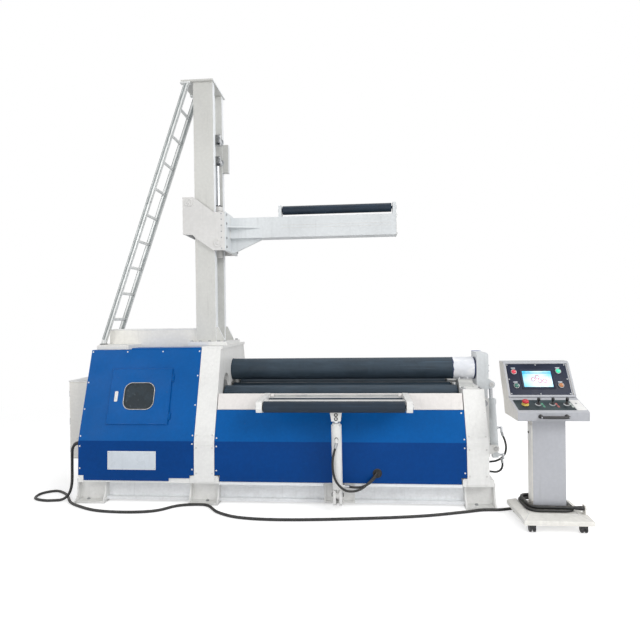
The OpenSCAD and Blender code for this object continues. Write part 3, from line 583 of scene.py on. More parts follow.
# The film is painted darker in the hollows of its creases, where the bump is low: painted shade.
FILM.set(
    Base_Color=FILM.mix(crease.step(0.35, 0.7), (222, 225, 231), (242, 243, 245)),
    Roughness=crease * 0.3 + 0.22,
)
FILM.bumps((crease, 0.004, 0.3), (ply, 0.004, 0.3), (FILM.noise(60, 4, twist=1.0), 0.0008, 0.2))

SCREEN = Finish("screen", "black_plastic", IOR=1.5, Coat_Weight=0.5, Coat_Roughness=0.05, Emission_Strength=0.3)
wash = SCREEN.noise(9, 3, twist=0.5)
screen_x, screen_z, title_z = CONSOLE_X * MM, 1.088, 1.142
edge = ((SCREEN.x - screen_x) * 7).size() + ((SCREEN.z - screen_z) * 8).size()
tint = SCREEN.mix(edge.step(0.55, 1.35) * 0.8 + wash.step(0.5, 0.7) * 0.35, (206, 236, 250), (60, 200, 236))
line = 1 - ((SCREEN.z - title_z) * 260).size().step(0.6, 1.6)
tint = SCREEN.mix(line * wash.step(0.3, 0.5) * 0.8, tint, (40, 150, 200))
SCREEN.set(Base_Color=tint, Emission_Color=tint, Roughness=SCREEN.noise(20, 3) * 0.12 + 0.1)
SCREEN.bumps((SCREEN.noise(900, 1), 0.0001, 0.1))

painted = {
    WHITE: "base_feet frame_cap table_frame left_frame right_frame drive_housing yoke_bracket table_cylinder",
    CREAM: "console_base electrical_cabinet top_box",
    GREY: "carriage lift_cylinder",
    BEAM_PAINTED_LIGHT: "base_beams",
    COOL: "overhead_arm drop_end_yoke yoke_cylinder",
    WARM: "cross_beams",
    SHADED: "console_desk console_post",
    BEIGE: "column",
    BLUE: "drive_covers access_door middle_panels",
    ROLL: "top_roll bottom_roll front_side_roll rear_side_roll",
    BLOCK: "bottom_roll_blocks front_roll_blocks rear_roll_blocks",
    ROLLER: "arm_roller table_front_roller table_rear_roller",
    CHROME: "lift_rod table_rod yoke_rod yoke_fittings",
    ALLOY: "ladder",
    PLASTIC: "console_casters cable_gland",
    RUBBER: "control_cable cable_coil table_hoses yoke_hoses",
}
for finish, names in painted.items():
    for name in names.split():
        for place in nodes[name].material_slots:
            place.material = finish.material

# ---- cords ----
# Routes are lists of points in millimetres, the same as in the part's source
CABLE, HOSE = 24, 19
RESTING = 12.3  # height of the cable's middle where it lies on the floor
cable_route = [
    (-2334, -600, 522), (-2358, -600, 517), (-2382, -600, 496), (-2395, -600, 460), (-2399, -600, 320),
    (-2402, -600, 180), (-2416, -603, 98), (-2448, -609, 42), (-2510, -618, 13), (-2640, -632, 12.5),
    (-2765, -580, 12.5), (-2785, -465, 12.5), (-2690, -392, 12.5), (-2575, -445, 12.5), (-2480, -538, 12.5),
    (-2378, -664, 12.5), (-2257, -745, 12.5), (-2070, -828, 12.5), (-1860, -856, 12.5), (-1650, -846, 12.5),
    (-1520, -806, 12.5), (-1400, -706, 12.5), (-1275, -670, 12.5), (-1140, -680, 12.5), (-1000, -825, 12.5),
    (-800, -922, 12.5), (-430, -950, 12.5), (240, -893, 12.5), (700, -822, 12.5), (1045, -726, 12.5),
    (1185, -683, 12.5), (1325, -670, 12.5), (1445, -638, 12.5), (1570, -616, 12.5), (1638, -616, 12.8),
    (1666, -619, 20), (1690, -627, 46), (1690, -637, 84), (1666, -646, 110), (1638, -651, 117.2),
]
cable_end = [(1780, -932, 139), (1860, -935, 137)]


def coil_points(count):
    """The coil round the console's post: a rounded rectangle walked from turn -0.2 to turn 2.25.

    P(s) = c(s) + (r + offset) (cos a(s), sin a(s)). Along a side the centre c moves and the angle a rests, and
    round a corner the other way about. Offset and height change where a turn lies on the one before.
    """
    middle, r = vec(1646, -798), 52.0
    x, y = vec(147, 120) - r
    centres = np.array([(-x, 0), (-x, -y), (-x, -y), (x, -y), (x, -y), (x, y), (x, y), (-x, y), (-x, y), (-x, 0)])
    angles = np.pi * (1 + np.repeat(np.arange(5), 2) / 2)
    legs = np.linalg.norm(np.diff(centres, axis=0), axis=1) + r * np.diff(angles)
    walked = np.concatenate([[0], np.cumsum(legs)])
    turns = np.linspace(-0.2, 2.25, count)
    s = (turns % 1) * walked[-1]
    centre = np.column_stack([np.interp(s, walked, centres[:, k]) for k in (0, 1)])
    angle = np.interp(s, walked, angles)
    offset = np.interp(turns, [0, 0.6, 0.78, 1.42, 1.6, 2.25], [26, 26, 0, 0, 13, 13])
    height = np.interp(turns, [0, 1.35, 1.58, 2.25], [117.5, 117.5, 142, 140])
    flat = middle + centre + (r + offset)[:, None] * np.column_stack([np.cos(angle), np.sin(angle)])
    return np.column_stack([flat, height])


def cord(name, path, diameter, body, replaced=()):
    """A cord as a tube along a path in millimetres, that hides the CAD parts it replaces."""
    thing = piece(name, tube(path, diameter / 2, 16), RUBBER, body, sharp=80)
    (path * MM).tolist()
    if replaced:
        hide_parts(*replaced)
    return thing


cable_path = curve(cable_route + coil_points(68).tolist() + cable_end, 8)
cable_path[:, 2] = np.maximum(cable_path[:, 2], RESTING)
# A strain relief is a tapered sleeve of seven ribs, then a plain end
along = np.linspace(0, 1, 26)
sleeve = (17.5 - 4 * along) * (1 + 0.05 * np.cos(along * 2 * np.pi * 7) * (along < 0.85))
near, far = curve(cable_path[:8], 2), curve(cable_path[-8:], 2)[::-1]
reliefs = [
    piece("cable_relief", tube(near[:26], sleeve), PLASTIC),
    piece("cable_relief_end", tube(far[:26], sleeve), PLASTIC),
]
cord("cable", cable_path, CABLE, "machine", ("control_cable", "cable_coil"))

table_hose_a = [
    (-4, -896, 608), (-9, -892, 585), (-20, -884, 545), (-33, -874, 490), (-38, -863, 420), (-32, -853, 350),
    (-13, -846, 290), (24, -840, 240), (71, -832, 208), (130, -818, 200), (190, -798, 213), (246, -766, 246),
    (294, -732, 286), (322, -708, 315), (332, -682, 330),
]
table_hose_b = [
    (52, -788, 230), (78, -788, 229), (120, -787, 222), (180, -776, 219), (238, -751, 231), (285, -724, 258),
    (316, -703, 291), (330, -676, 298),
]
yoke_hose_a = [
    (1543, 0, 500), (1551, 1, 470), (1572, 6, 420), (1586, 14, 350), (1578, 22, 290), (1548, 28, 244),
    (1500, 30, 216), (1440, 30, 205), (1394, 27, 205), (1355, 23, 206),
]
yoke_hose_b = [
    (1540, 0, 244), (1544, -1, 215), (1545, -5, 180), (1528, -10, 142), (1490, -14, 122), (1440, -16, 123),
    (1402, -18, 131), (1367, -20, 136),
]
ferrule = [(0, 0), (10.5, 0), (13, 1.5), (13, 9), (11.5, 10)] + [
    (12.6 - 0.8 * (k % 2), 11 + 2.6 * k) for k in range(12)
] + [(11.6, 43), (9.2, 45), (0, 45)]


def crimp(path):
    """A crimped ferrule on the start of a hose."""
    along = unit(path[4] - path[0])
    side = sideways(along)
    return placed(lathe(ferrule, 24), path[0] - along * 4, side, np.cross(along, side), along)


for name, body, routes in (
    ("table_hose", "table_cylinder", (table_hose_a, table_hose_b)),
    ("yoke_hose", "yoke_cylinder", (yoke_hose_a, yoke_hose_b)),
):
    for letter, route in zip("ab", routes):
        path = curve(route, 6)
        end = piece(f"{name}_end_{letter}", crimp(path), ZINC, body)
        cord(f"{name}_{letter}", path, HOSE, body, (name + "s",) if letter == "a" else ())


# ---- fasteners ----
def turned(profile, n=24):
    """A turned shape of (radius, height, share of hexagon) rows.

    Its radius is r_i (1 - s_i + s_i h(t)), where h is a hexagon's radius over its corner's.
    """
    p = np.array([row if len(row) == 3 else (*row, 0) for row in profile], float)
    t = np.arange(n) * 2 * np.pi / n
    h = np.cos(np.pi / 6) / np.cos(t % (np.pi / 3) - np.pi / 6)
    r = p[:, :1] * (1 - p[:, 2:] + p[:, 2:] * h)
    return capped(np.stack([r * np.cos(t), r * np.sin(t), np.repeat(p[:, 1:2], n, 1)], -1))


def button(r):
    """Button-head screw with a hexagon socket, on a washer."""
    return turned(
        [(1.4 * r, -0.5), (1.4 * r, 1.2), (1.3 * r, 1.8), (r, 1.8), (r, 1.8 + 0.25 * r),
         (0.9 * r, 1.8 + 0.5 * r), (0.68 * r, 1.8 + 0.66 * r), (0.52 * r, 1.8 + 0.7 * r, 1),
         (0.5 * r, 1.8 + 0.2 * r, 1)]
    )


def bolt(r):
    """Hexagon-head bolt on a washer, its top corners chamfered. r is half the width over corners."""
    return turned(
        [(1.2 * r, -0.5), (1.2 * r, 2), (1.12 * r, 2.6), (0.95 * r, 2.6), (r, 2.6, 1), (r, 2 + 0.56 * r, 1),
         (0.97 * r, 2 + 0.62 * r, 0.6), (0.84 * r, 2 + 0.7 * r)]
    )


def cap_screw(r):
    """Socket-head cap screw with a hexagon socket."""
    return turned(
        [(r, -0.5), (r, 1.15 * r), (0.9 * r, 1.25 * r), (0.56 * r, 1.25 * r), (0.52 * r, 1.2 * r, 1),
         (0.5 * r, 0.6 * r, 1)]
    )


def weld(start, end, r=4):
    """A weld bead along a line, half sunk, whose radius ripples: r (1 + 0.14 cos(2 pi s / 7 mm))."""
    start, end = vec(*start), vec(*end)
    length = np.linalg.norm(end - start)
    s = np.linspace(0, length, max(4, int(length / 2.4)))
    return tube(start + (end - start) * (s / length)[:, None], r * (1 + 0.14 * np.cos(s * 2 * np.pi / 7)), 6)


def beads(lines, r):
    """Weld beads along lines of (start, end)."""
    return join(*[weld(start, end, r) for start, end in lines])


# ---- covers, door and panels ----
cover_screw, frame_screw = button(4.8), button(5.5)
slope_screws = [(x, 799, 0) for x in (-2272, -1942, -1606, -1263)]
slope_screws += [(x, v, 0) for x, rows in ((-1261, (574, 311, 49)), (-2272, (514, 275, 39))) for v in rows]
lower_screws = [(x, v, 0) for x, rows in ((-2272, (298, 106)), (-1261, (322, 104))) for v in rows]
end_screws = [(y * side, z, 2286) for y, z in ((655, 255), (652, 540), (520, 900), (430, 1210)) for side in SIDES]
covers = both(join(on(SLOPE, cover_screw, *slope_screws), on(LOWER, cover_screw, *lower_screws)))
piece("cover_screws", join(covers, on(LEFT, cover_screw, *end_screws)), WHITE)
PANEL_EDGE = 1047
panels = join(
    on(SLOPE, cover_screw, *[(side * PANEL_EDGE, 28, 0) for side in SIDES], (1038, 244, 0)),
    on(LOWER, cover_screw, *[(side * PANEL_EDGE, v, 0) for side in SIDES for v in (302, 97)]),
)
piece("panel_screws", both(panels), WHITE)
frames = join(
    on(SLOPE, frame_screw, *[(side * x, 51, 0) for side in SIDES for x in (1086, 1222)]),
    on(LOWER, frame_screw, *[(side * x, v, 0) for side in SIDES for x in (1086, 1224) for v in (289, 72)]),
)
piece("frame_screws", both(frames), GREY)
# The frames' plates are seamed across, just above and below the bend
frame_seams = [
    ((side * 1067, y, z), (side * 1243, y, z)) for side in SIDES for y, z in ((-673.5, 609), (-688.4, 529))
]
piece("frame_seams", both(beads(frame_seams, 2.4)), WHITE, sharp=60)

WINDOW = (-1776, 389, 0)
seal = [(-5.5, 12), (-5.5, 15.5), (-4, 17.5), (0, 18), (4, 17), (8, 12.5), (8, 7), (-1, 7), (-1, 12)]
trim = [(-2.5, 17), (-2.5, 18.8), (-1.5, 19.8), (0.2, 19.8), (1.2, 18.8), (1.2, 17)]
opening = rectangle(276, 236, 70, 12)
piece("window_gasket", on(SLOPE, rim(opening, seal), WINDOW), RUBBER, "door")
piece("window_trim", on(SLOPE, rim(opening, trim), WINDOW), ZINC, "door", slot="ladder_aluminium")


def bulged(outline, low, edge, rise, rows=6):
    """A pane from low to edge that bulges: P(s) = (s outline, edge + rise (1 - s^2)), with s falling from 1."""
    s = np.linspace(1, 0, rows + 1)[:-1]
    s, height = np.append(1, s), np.append(low, edge + rise * (1 - s**2))
    return capped(lifted(s[:, None, None] * outline, height))


pane = bulged(rectangle(262, 222, 63, 12), 6.5, 9.5, 1.5)
piece("window_pane", on(SLOPE, pane, WINDOW), GLASS, "door", sharp=60)

latch_plate = plate(29, 93, 8, 6, 5, 2)
latch_boss = plate(17, 60, 7, 6, 13, 4)
lock_rim = turned([(6, 4), (6, 7), (5, 8), (2.2, 8), (2, 5)])
latch = join(latch_plate, copies(latch_boss, [(0, 8, 0)]), copies(lock_rim, [(0, -34, 0)]))
piece("door_latch", on(SLOPE, latch, (-1987, 386, 13)), CREAM, "door")
lock_core = lathe([(3.6, 14), (3.6, 18), (2.8, 19), (0, 19)])
lever = join(plate(9, 46, 4, 6, 16, 3, 11), copies(lock_core, [(0, -37, -9)]))
piece("door_latch_lever", on(SLOPE, lever, (-1987, 393, 13)), ALLOY, "door")
hem = rim(rectangle(558, 498, 4, 3), [(0.5, 1), (0.5, 12.6), (3, 14.6), (7, 14.6), (9, 12.6), (9, 11)])
piece("door_hem", on(SLOPE, hem, (-1771, 389, 0)), BLUE, "door")

PLATE_X, PLATE_V = -1800, 177
plate_rim = rim(rectangle(429, 155, 2, 3), [(0, 3.6), (0, 4.6), (0.8, 5), (2.6, 5), (3.4, 4.6), (3.4, 3.6)])
rivet = lathe([(4, -0.3), (4, 0.6), (3.2, 1.9), (1.6, 2.6), (0, 2.8)], 20)
rivets = [(PLATE_X + x, PLATE_V + v, 4) for x in (-206, 206) for v in (-68, 68)]
piece("name_plate", on(LOWER, plate(434, 160, 3, 3, 4, 1.2), (PLATE_X, PLATE_V, 0)), NAME_PLATE)
piece("name_plate_rim", on(LOWER, plate_rim, (PLATE_X, PLATE_V, 0)), ALLOY)
piece("name_plate_rivets", on(LOWER, rivet, *rivets), ZINC)
grommet = lathe([(39, -0.5), (39, 2), (37, 5), (33, 6.5), (30, 5), (29, 1), (28, -7), (0, -8)], 48)
piece("hose_grommet", on(LOWER, grommet, (327, 89.2, 0)), RUBBER)

# ---- rolls ----
ROLL_Z = 1119


def wrapped(x0, x1, r, rows, cols, depth):
    """Film wound round the top roll, its radius r + 0.8 + depth fold, fold a sum of waves in angle and length.

    The folds ease to a quarter towards the ends, where a last ring of 0.94 of the radius tucks the film in.
    """
    s, t = np.linspace(0, 1, rows)[:, None], (np.arange(cols) * 2 * np.pi / cols)[None]
    fold = 0.55 * np.abs(np.sin(2 * t + 5 * s + 1.4 * np.sin(2 * t)))
    fold = fold + 0.3 * np.abs(np.sin(5 * t - 8 * s + 1.1 * np.sin(9 * s))) + 0.15 * np.sin(7 * t + 17 * s)
    ease = np.clip(np.minimum(s, 1 - s) * 14, 0, 1)
    rho = r + 0.8 + depth * np.clip(fold, 0, 1.2) * (0.25 + 0.75 * ease)
    rings = np.stack([x0 + (x1 - x0) * s + 0 * t, -rho * np.cos(t), rho * np.sin(t)], -1)
    tuck = vec(1, 0.94, 0.94)
    points, faces = capped(np.concatenate([rings[:1] * tuck, rings, rings[-1:] * tuck]))
    return points + vec(0, 0, ROLL_Z), faces


piece("roll_film", wrapped(1077, 1274, 103.6, 70, 120, 2), FILM, "top_roll", sharp=80)
band = hoop([(103, -6), (104.6, -5), (105, 0), (104.6, 5), (103, 6)], 96)
piece("roll_bands", join(*[placed(band, (x, 0, ROLL_Z), Y, Z, X) for x in (1280, 1079)]), BAND, "top_roll")

# ---- drop end ----
yoke_corner = np.linspace(0, np.pi / 2, 8)
yoke_outline = np.vstack([
    [(1291, 830), (1391, 830), (1391, 1026), (1401, 1032)],
    np.column_stack([1362 + 39 * np.cos(yoke_corner), 1238 + 39 * np.sin(yoke_corner)]),
    [(1291, 1277)],
])
behind = ((0, 100, 0), X, Z, Y)
piece("yoke_trim", on(behind, slab(yoke_outline, 7, 1.5), ORIGIN), TRIM_BLUE, "yoke")
yoke_cap_screws = circle(8, 70, np.pi / 8, 1406, (0, ROLL_Z))
piece("yoke_cap_screws", on(RIGHT, cap_screw(7), *yoke_cap_screws), ZINC, "yoke")
pin_cap = lathe([(36, -1), (36, 5), (34, 7), (18, 7), (16, 5), (0, 5)], 40)
small_cap = lathe([(22, -1), (22, 4), (20, 6), (11, 6), (9, 4), (0, 4)], 32)
bracket_bolts = [(x, z, 145) for x in (1275, 1345) for z in (330, 450, 570, 690)]
lug, ear = vec(1474, 0, 350), vec(1442, 0, 960)
piece("pivot_caps", both(on(FRONT, pin_cap, (1341, 800, 145))), ZINC)
piece("bracket_bolts", both(on(FRONT, bolt(11), *bracket_bolts)), ZINC)
piece("lug_caps", both(on(FRONT, small_cap, (lug[0], lug[2], 44))), GREY)
piece("ear_caps", both(on(FRONT, small_cap, (ear[0], ear[2], 39))), GREY, "yoke")
yoke_axis = unit(ear - lug)
YOKE_CYLINDER = (lug, np.cross(Y, yoke_axis), Y, yoke_axis)
gland = hoop([(19, 0), (19, 3), (21, 4.5), (30, 5), (33, 3.5), (33, 0)], 36)
gland = join(gland, copies(cap_screw(3.2), circle(6, 26, 0, 4)))
piece("yoke_gland", on(YOKE_CYLINDER, gland, (0, 0, 467)), COOL, "yoke_cylinder")
rib = hoop([(38, -4), (40.5, -3), (41, 0), (40.5, 3), (38, 4)], 40)
piece("yoke_cylinder_beads", on(YOKE_CYLINDER, rib, (0, 0, 60), (0, 0, 424)), COOL, "yoke_cylinder")

# ---- frames' tops, blocks and base ----
frame_tops = [(x, y, 990) for x in (1084, 1226) for y in (-520, -462)]
piece("frame_top_bolts", both(on(TOP, bolt(12), *frame_tops)), ZINC)
GUIDE_LEAN = np.radians(20)
for name, body, y in (("front_block_screws", "front_lift", -310), ("rear_block_screws", "rear_lift", 310)):
    tip = GUIDE_LEAN * np.sign(y)
    dome = ((0, y, 918), X, vec(0, np.cos(tip), np.sin(tip)), vec(0, -np.sin(tip), np.cos(tip)))
    piece(name, on(dome, cap_screw(8), (1095, 0, 134), (1165, 0, 134)), ZINC, body)
piece("anchors", both(on(TOP, bolt(13), *[(x, -595, 20) for x in (-2250, -1160, 1160)])), ZINC)
foot_sides = [x for low, high in ((-2349, -2078), (-1314, -1050), (1060, 1312)) for x in (low + 14.5, high - 14.5)]
foot_welds = [((x, -566, 24), (x, -566, 194)) for x in foot_sides]
piece("foot_welds", both(beads(foot_welds, 3.4)), WHITE, sharp=60)

# ---- column, carriage and arm ----
HOUSING_TOP = 1405
column_welds = [
    beads([((-1380, y, HOUSING_TOP), (-1184, y, HOUSING_TOP)) for y in (-188, 188)], 5),
    weld((-1379, -188, HOUSING_TOP), (-1379, 188, HOUSING_TOP), 5),
    beads([((-1184, side * 178, HOUSING_TOP), (-1099, side * 178, HOUSING_TOP)) for side in SIDES], 4),
    beads([((-1185, side * 178, 1408), (-1185, side * 178, 1540)) for side in SIDES], 4),
]
piece("column_welds", join(*column_welds), BEIGE, sharp=60)
column_bolts = [(x, -222, HOUSING_TOP) for x in (-1412, -1330, -1240, -1150, -1088)]
piece("column_foot_bolts", both(on(TOP, bolt(14), *column_bolts)), ZINC)

GUIDE_ROLLERS = ((-1424, 2742), (-1147, 2347))
CHEEK = 222
flange = lathe([(40, -0.5), (40, 5), (38, 7), (24, 7), (23, 6), (14.6, 6), (14.6, 12), (12, 14), (0, 14)], 48)
flange_screws = np.vstack([circle(6, 31, 0.3, CHEEK + 7, middle) for middle in GUIDE_ROLLERS])
cheek_bolts = [(-1108, z, CHEEK) for z in (2296, 2400, 2458, 2516, 2574, 2628)]
piece("guide_flanges", both(on(FRONT, flange, *[(x, z, CHEEK) for x, z in GUIDE_ROLLERS])), GREY, "carriage")
piece("guide_flange_screws", both(on(FRONT, cap_screw(4.2), *flange_screws)), GREY, "carriage")
piece("carriage_bolts", both(on(FRONT, bolt(5.5), *cheek_bolts)), ZINC, "carriage")

ARM_FLANGE, ARM_END = -1064, 562
arm_bolts = [(side * 206, z, ARM_FLANGE) for side in SIDES for z in (2310, 2395, 2535, 2620)]
piece("flange_bolts", on(RIGHT, bolt(11), *arm_bolts), ZINC, "carriage")
weld_x = ARM_FLANGE + 1
arm_welds = [((weld_x, y, 2412), (weld_x, y, 2612)) for y in (-75, 75)]
arm_welds += [((weld_x, -75, 2613), (weld_x, 75, 2613))]
piece("arm_welds", beads(arm_welds, 5), GREY, "carriage", sharp=60)
arm_seams = join(*[bar((-555, -76, z), (510, -74, z + 3.5), 1) for z in (2501, 2528)])
piece("arm_seams", both(arm_seams), GREY, "carriage", sharp=25)
end_plate = plate(158, 208, 6, 4, 5, 1.5)
piece("arm_end_plate", on(RIGHT, end_plate, (0, 2512, ARM_END)), WHITE, "carriage")
end_screws = [(y, z, ARM_END + 5) for y in (-66, 66) for z in (2424, 2600)]
piece("arm_end_screws", on(RIGHT, button(6), *end_screws), ZINC, "carriage")
roller_caps = join(on(RIGHT, small_cap, (0, 2687, 563)), on(LEFT, small_cap, (0, 2687, 585)))
piece("arm_roller_caps", roller_caps, ZINC, "carriage")
lift_pin = lathe([(36, -1), (36, 4), (33, 8), (22, 8), (20, 4), (9, 4), (8, 7), (0, 7)], 40)
piece("lift_pin_caps", both(on(FRONT, lift_pin, (-1186, 3199, 49), (-1186, 3407, 49))), ZINC)
lift_gland = hoop([(19.6, 0), (19.6, 8), (23, 13), (36, 14), (41, 10), (41, 0)], 40)
lift_gland = join(lift_gland, copies(cap_screw(4.5), circle(6, 31, 0.3, 13)))
piece("lift_gland", on(TOP, lift_gland, (-1200, 0, 2739)), PLASTIC, "carriage")

# ---- ladder, box and cabinet ----
ladder_foot, ladder_head = vec(-2302, 0, 1386), vec(-1428, 0, 3898)
climb = unit(ladder_head - ladder_foot)
LADDER = (ladder_foot, np.cross(Y, climb), Y, climb)
lip_end = np.linalg.norm(ladder_head - ladder_foot) - 8
RAILS = (-197, 80)
# Each rail's lips, as (start, width, y) across the ladder
lips = [(-30, 4, -212.5), (-20, 15, -212), (12, 4, -212.5), (-30, 4, 64.5), (-8, 17, 65), (12, 4, 64.5)]
lips = join(*[bar((x, y, 45), (x + width, y + 3, lip_end), 1) for x, width, y in lips])
# The lips take the darker aluminium: painted shade.
piece("rail_lips", on(LADDER, lips, ORIGIN), RAIL_PAINTED_SHADE)
hooks = join(*[bar((-1497, y - 22, 3895), (-1396, y + 22, 3911), 2) for y in RAILS])
piece("ladder_hooks", hooks, ALLOY)
pads = join(*[bar((-2337, y - 19, 1380), (-2272, y + 19, 1394), 3) for y in RAILS])
piece("ladder_feet", pads, RUBBER)
piece("top_box_lid", bar((-2276, -144, 1519), (-1382, -11, 1533), 3), WHITE)
box_screws = [(x, z, 140) for x in (-2250, -1840, -1465) for z in (1400, 1500)]
piece("top_box_screws", on(FRONT, button(4), *box_screws), WHITE)
tread = bar((-2255, -394, 1385.5), (-2229, -146, 1389), 1.2)
piece("step_treads", copies(tread, [(37 * k, 0, 0) for k in range(8)]), WHITE)

CABINET_X = -2474
cabinet_door = plate(330, 730, 5, 4, 14, 3)
handle = join(plate(34, 110, 8, 5, 6, 2), plate(20, 86, 9, 5, 17, 5))
hinge = lathe([(7, 0), (7, 56), (5, 58), (0, 58)], 20)
louvre = bar((-95, -5, 0), (95, 0.5, 8), 3)
gland = turned([(15, 0, 1), (15, 8, 1), (13, 9), (13, 20), (11, 24), (7, 25)])
louvres = [(CABINET_X, -233, 360 + 17 * k) for k in range(8)]
glands = [placed(gland, (x, y, 270), X, -Y, -Z) for x in (-2580, -2510, -2440) for y in (-60, 60)]
piece("cabinet_doors", both(on(FRONT, cabinet_door, (CABINET_X, 648, 219))), CREAM)
piece("cabinet_handles", both(on(FRONT, handle, (CABINET_X + 130, 648, 233))), PLASTIC)
piece("cabinet_hinges", both(copies(hinge, [(-2640, -226, z) for z in (340, 610, 880)])), ZINC)
piece("cabinet_louvres", both(copies(louvre, louvres)), CREAM)
piece("cabinet_roof", bar((-2656, -225, 1020), (-2290, 225, 1034), 3), WHITE)
piece("cabinet_glands", join(*glands), PLASTIC)

# ---- front table ----
axle_cap = lathe([(26, -1), (26, 5), (24, 8), (15, 8), (13, 6), (0, 6)], 36)
tiny_cap = lathe([(16, -1), (16, 4), (14, 6), (7, 6), (0, 6)], 28)


def across(cap, y, z, right, left):
    """A cap on each end of a pin along X, at those distances from the middle plane."""
    return join(on(RIGHT, cap, (y, z, right)), on(LEFT, cap, (-y, z, left)))


axle_caps = join(across(axle_cap, -946, 910, 597, 633), across(tiny_cap, -703, 920, 597, 633))
piece("table_axle_caps", axle_caps, ZINC, "table")
table_bolts = [(x, 906, 840) for x in (-520, -300, -120, 110, 290, 490)]
piece("table_bolts", on(FRONT, button(6), *table_bolts), ZINC, "table")
foot_pin, rod_pin = vec(-4, -760, 150), vec(-4, -861, 815)
table_axis = unit(rod_pin - foot_pin)
table_side = np.cross(table_axis, X)
TABLE_CYLINDER = (foot_pin, X, table_side, table_axis)
table_gland = hoop([(20.6, 0), (20.6, 7), (24, 11), (28, 11), (32, 8), (32, 0)], 40)
piece("table_gland", on(TABLE_CYLINDER, table_gland, (0, 0, 612)), WHITE, "table_cylinder")
table_screws = circle(4, 36, np.pi / 4, 604)
piece("table_cylinder_screws", on(TABLE_CYLINDER, cap_screw(4.2), *table_screws), ZINC, "table_cylinder")
port_nut = turned([(14, 0, 1), (15.5, 1.5, 1), (15.5, 11, 1), (14, 12.5, 1)])
upper_port = placed(copies(port_nut, [(0, 0, 40)]), foot_pin + 500 * table_axis, X, table_axis, -table_side)
lower_port = placed(port_nut, (41, -775, 231), Y, Z, X)
piece("table_port_nuts", join(upper_port, lower_port), PLASTIC, "table_cylinder")
piece("table_eye_caps", across(tiny_cap, rod_pin[1], rod_pin[2], 35, 43), PLASTIC, "table")
clevis_ring = hoop([(8, -0.5), (8, 2.5), (10, 4), (14, 4), (15, 2.5), (15, -0.5)], 32)
piece("clevis_rings", on(FRONT, clevis_ring, *[(foot_pin[0], z, 904) for z in (838, 806)]), PLASTIC, "table")
piece("foot_pin_caps", across(tiny_cap, foot_pin[1], foot_pin[2], 40, 48), PLASTIC)
hinge_rod = lathe([(0, 0), (11, 0), (12, 1), (12, 1063), (11, 1064), (0, 1064)], 32)
piece("table_hinge_rod", placed(hinge_rod, (-550, -615, 945), Y, Z, X), BLOCK)

# ---- console ----
frame_section = [(0, -0.5), (0, 7), (3, 10), (15, 10), (18, 7), (18, -0.5)]
bezel_section = [(0, 3.5), (0, 7), (2, 8.5), (13, 8.5), (18, 6), (18, 3.5)]
piece("console_frame", on(FASCIA, rim(rectangle(524, 306, 14, 6), frame_section), (0, 154, 0)), SHADED)
piece("console_fascia", on(FASCIA, plate(478, 268, 6, 4, 4, 1.5), (-6, 154, 0)), FACE)
SCREEN_AT = (-10, 156, 0)
piece("screen_bezel", on(FASCIA, rim(rectangle(264, 174, 8, 5), bezel_section), SCREEN_AT), FACE)
fascia_screws = [(x, v, 4) for x in (-234, -6, 222) for v in (29, 279)] + [(-234, 154, 4), (222, 154, 4)]
console_screws = join(on(FASCIA, button(4), *fascia_screws), on(DESK, button(5), (214, 120, 3)))
piece("console_screws", console_screws, ZINC)
piece("screen", on(FASCIA, plate(228, 138, 3, 3, 5.5, 1), SCREEN_AT), SCREEN)
sketch = hoop([(13, 0), (13, 0.6), (13.5, 0.9), (17.8, 0.9), (18.3, 0.6), (18.3, 0)], 40)
sketched = [(x, v, 5.2) for x, v in ((-44, 152), (-10, 172), (6, 140), (44, 138))]
piece("screen_rings", on(FASCIA, sketch, *sketched), INK)

lamp_bezel = hoop([(17, 0), (17, 6), (19, 8), (22, 7), (23.5, 4), (23.5, 0)], 36)
lamp_lens = lathe([(17.3, 0), (17.3, 7), (16, 11), (11, 14.5), (5, 16.3), (0, 16.6)], 32)
# name: (place on the fascia, colour, glow)
lamps = {
    "lamp_red": ((-189, 218, 4), (226, 22, 62), 0.35),
    "lamp_green": ((-185, 98, 4), (16, 112, 96), 0.05),
    "lamp_start": ((163, 222, 4), (46, 226, 176), 0.6),
    "lamp_amber": ((163, 100, 4), (206, 128, 62), 0.1),
}
piece("lamp_bezels", on(FASCIA, lamp_bezel, *[at for at, _, _ in lamps.values()]), ZINC)
for name, (at, colour, glow) in lamps.items():
    piece(name, on(FASCIA, lamp_lens, at), lens(name, colour, glow))
labels = [(x, v, 0) for x in (-188, 163) for v in (252, 130)]
piece("fascia_labels", on(FASCIA, plate(34, 9, 1.5, 3, 5, 0.4), *labels), LABEL)

piece("control_panel", on(DESK, plate(424, 158, 4, 3, 3, 1), (-32, 100, 0)), DARK)
piece("desk_sheet", on(DESK, plate(70, 160, 3, 3, 2, 0.6), (222, 100, 0)), WHITE)
stop_collar = lathe([(27, 0), (27, 5), (25, 8), (17, 9), (17, 16), (0, 16)], 36)
stop_button = lathe([(15, 14), (15, 18), (24, 21), (25, 27), (23, 34), (17, 39), (9, 41.5), (0, 42)], 36)
piece("stop_collar", on(DESK, stop_collar, (-172, 104, 3)), YELLOW)
piece("stop_button", on(DESK, stop_button, (-172, 104, 3)), RED)
sticks = [(x, 104, 3) for x in (-74, 32, 138)]
stick_base = hoop([(12, 0), (12, 4), (15, 6), (20, 6), (23, 4), (24, 0)], 36)
bellow = [(19, 3)] + [(17.5 - 1.5 * k + 2.2 * (k % 2), 5 + 2.4 * k) for k in range(8)] + [(5, 24)]
grip = [(5, 22), (5, 29), (8, 32), (11, 39), (12, 47), (11, 55), (7, 59), (0, 60)]
piece("stick_bases", on(DESK, stick_base, *sticks), ZINC)
piece("sticks", on(DESK, join(lathe(bellow, 32), lathe(grip, 28)), *sticks), PLASTIC, sharp=50)
tag = plate(15, 30, 2, 3, 4.2, 0.6)
tags = {"tag_green": ((70, 140, 110), -42), "tag_red": ((170, 84, 80), 64), "tag_pale": ((176, 184, 178), 170)}
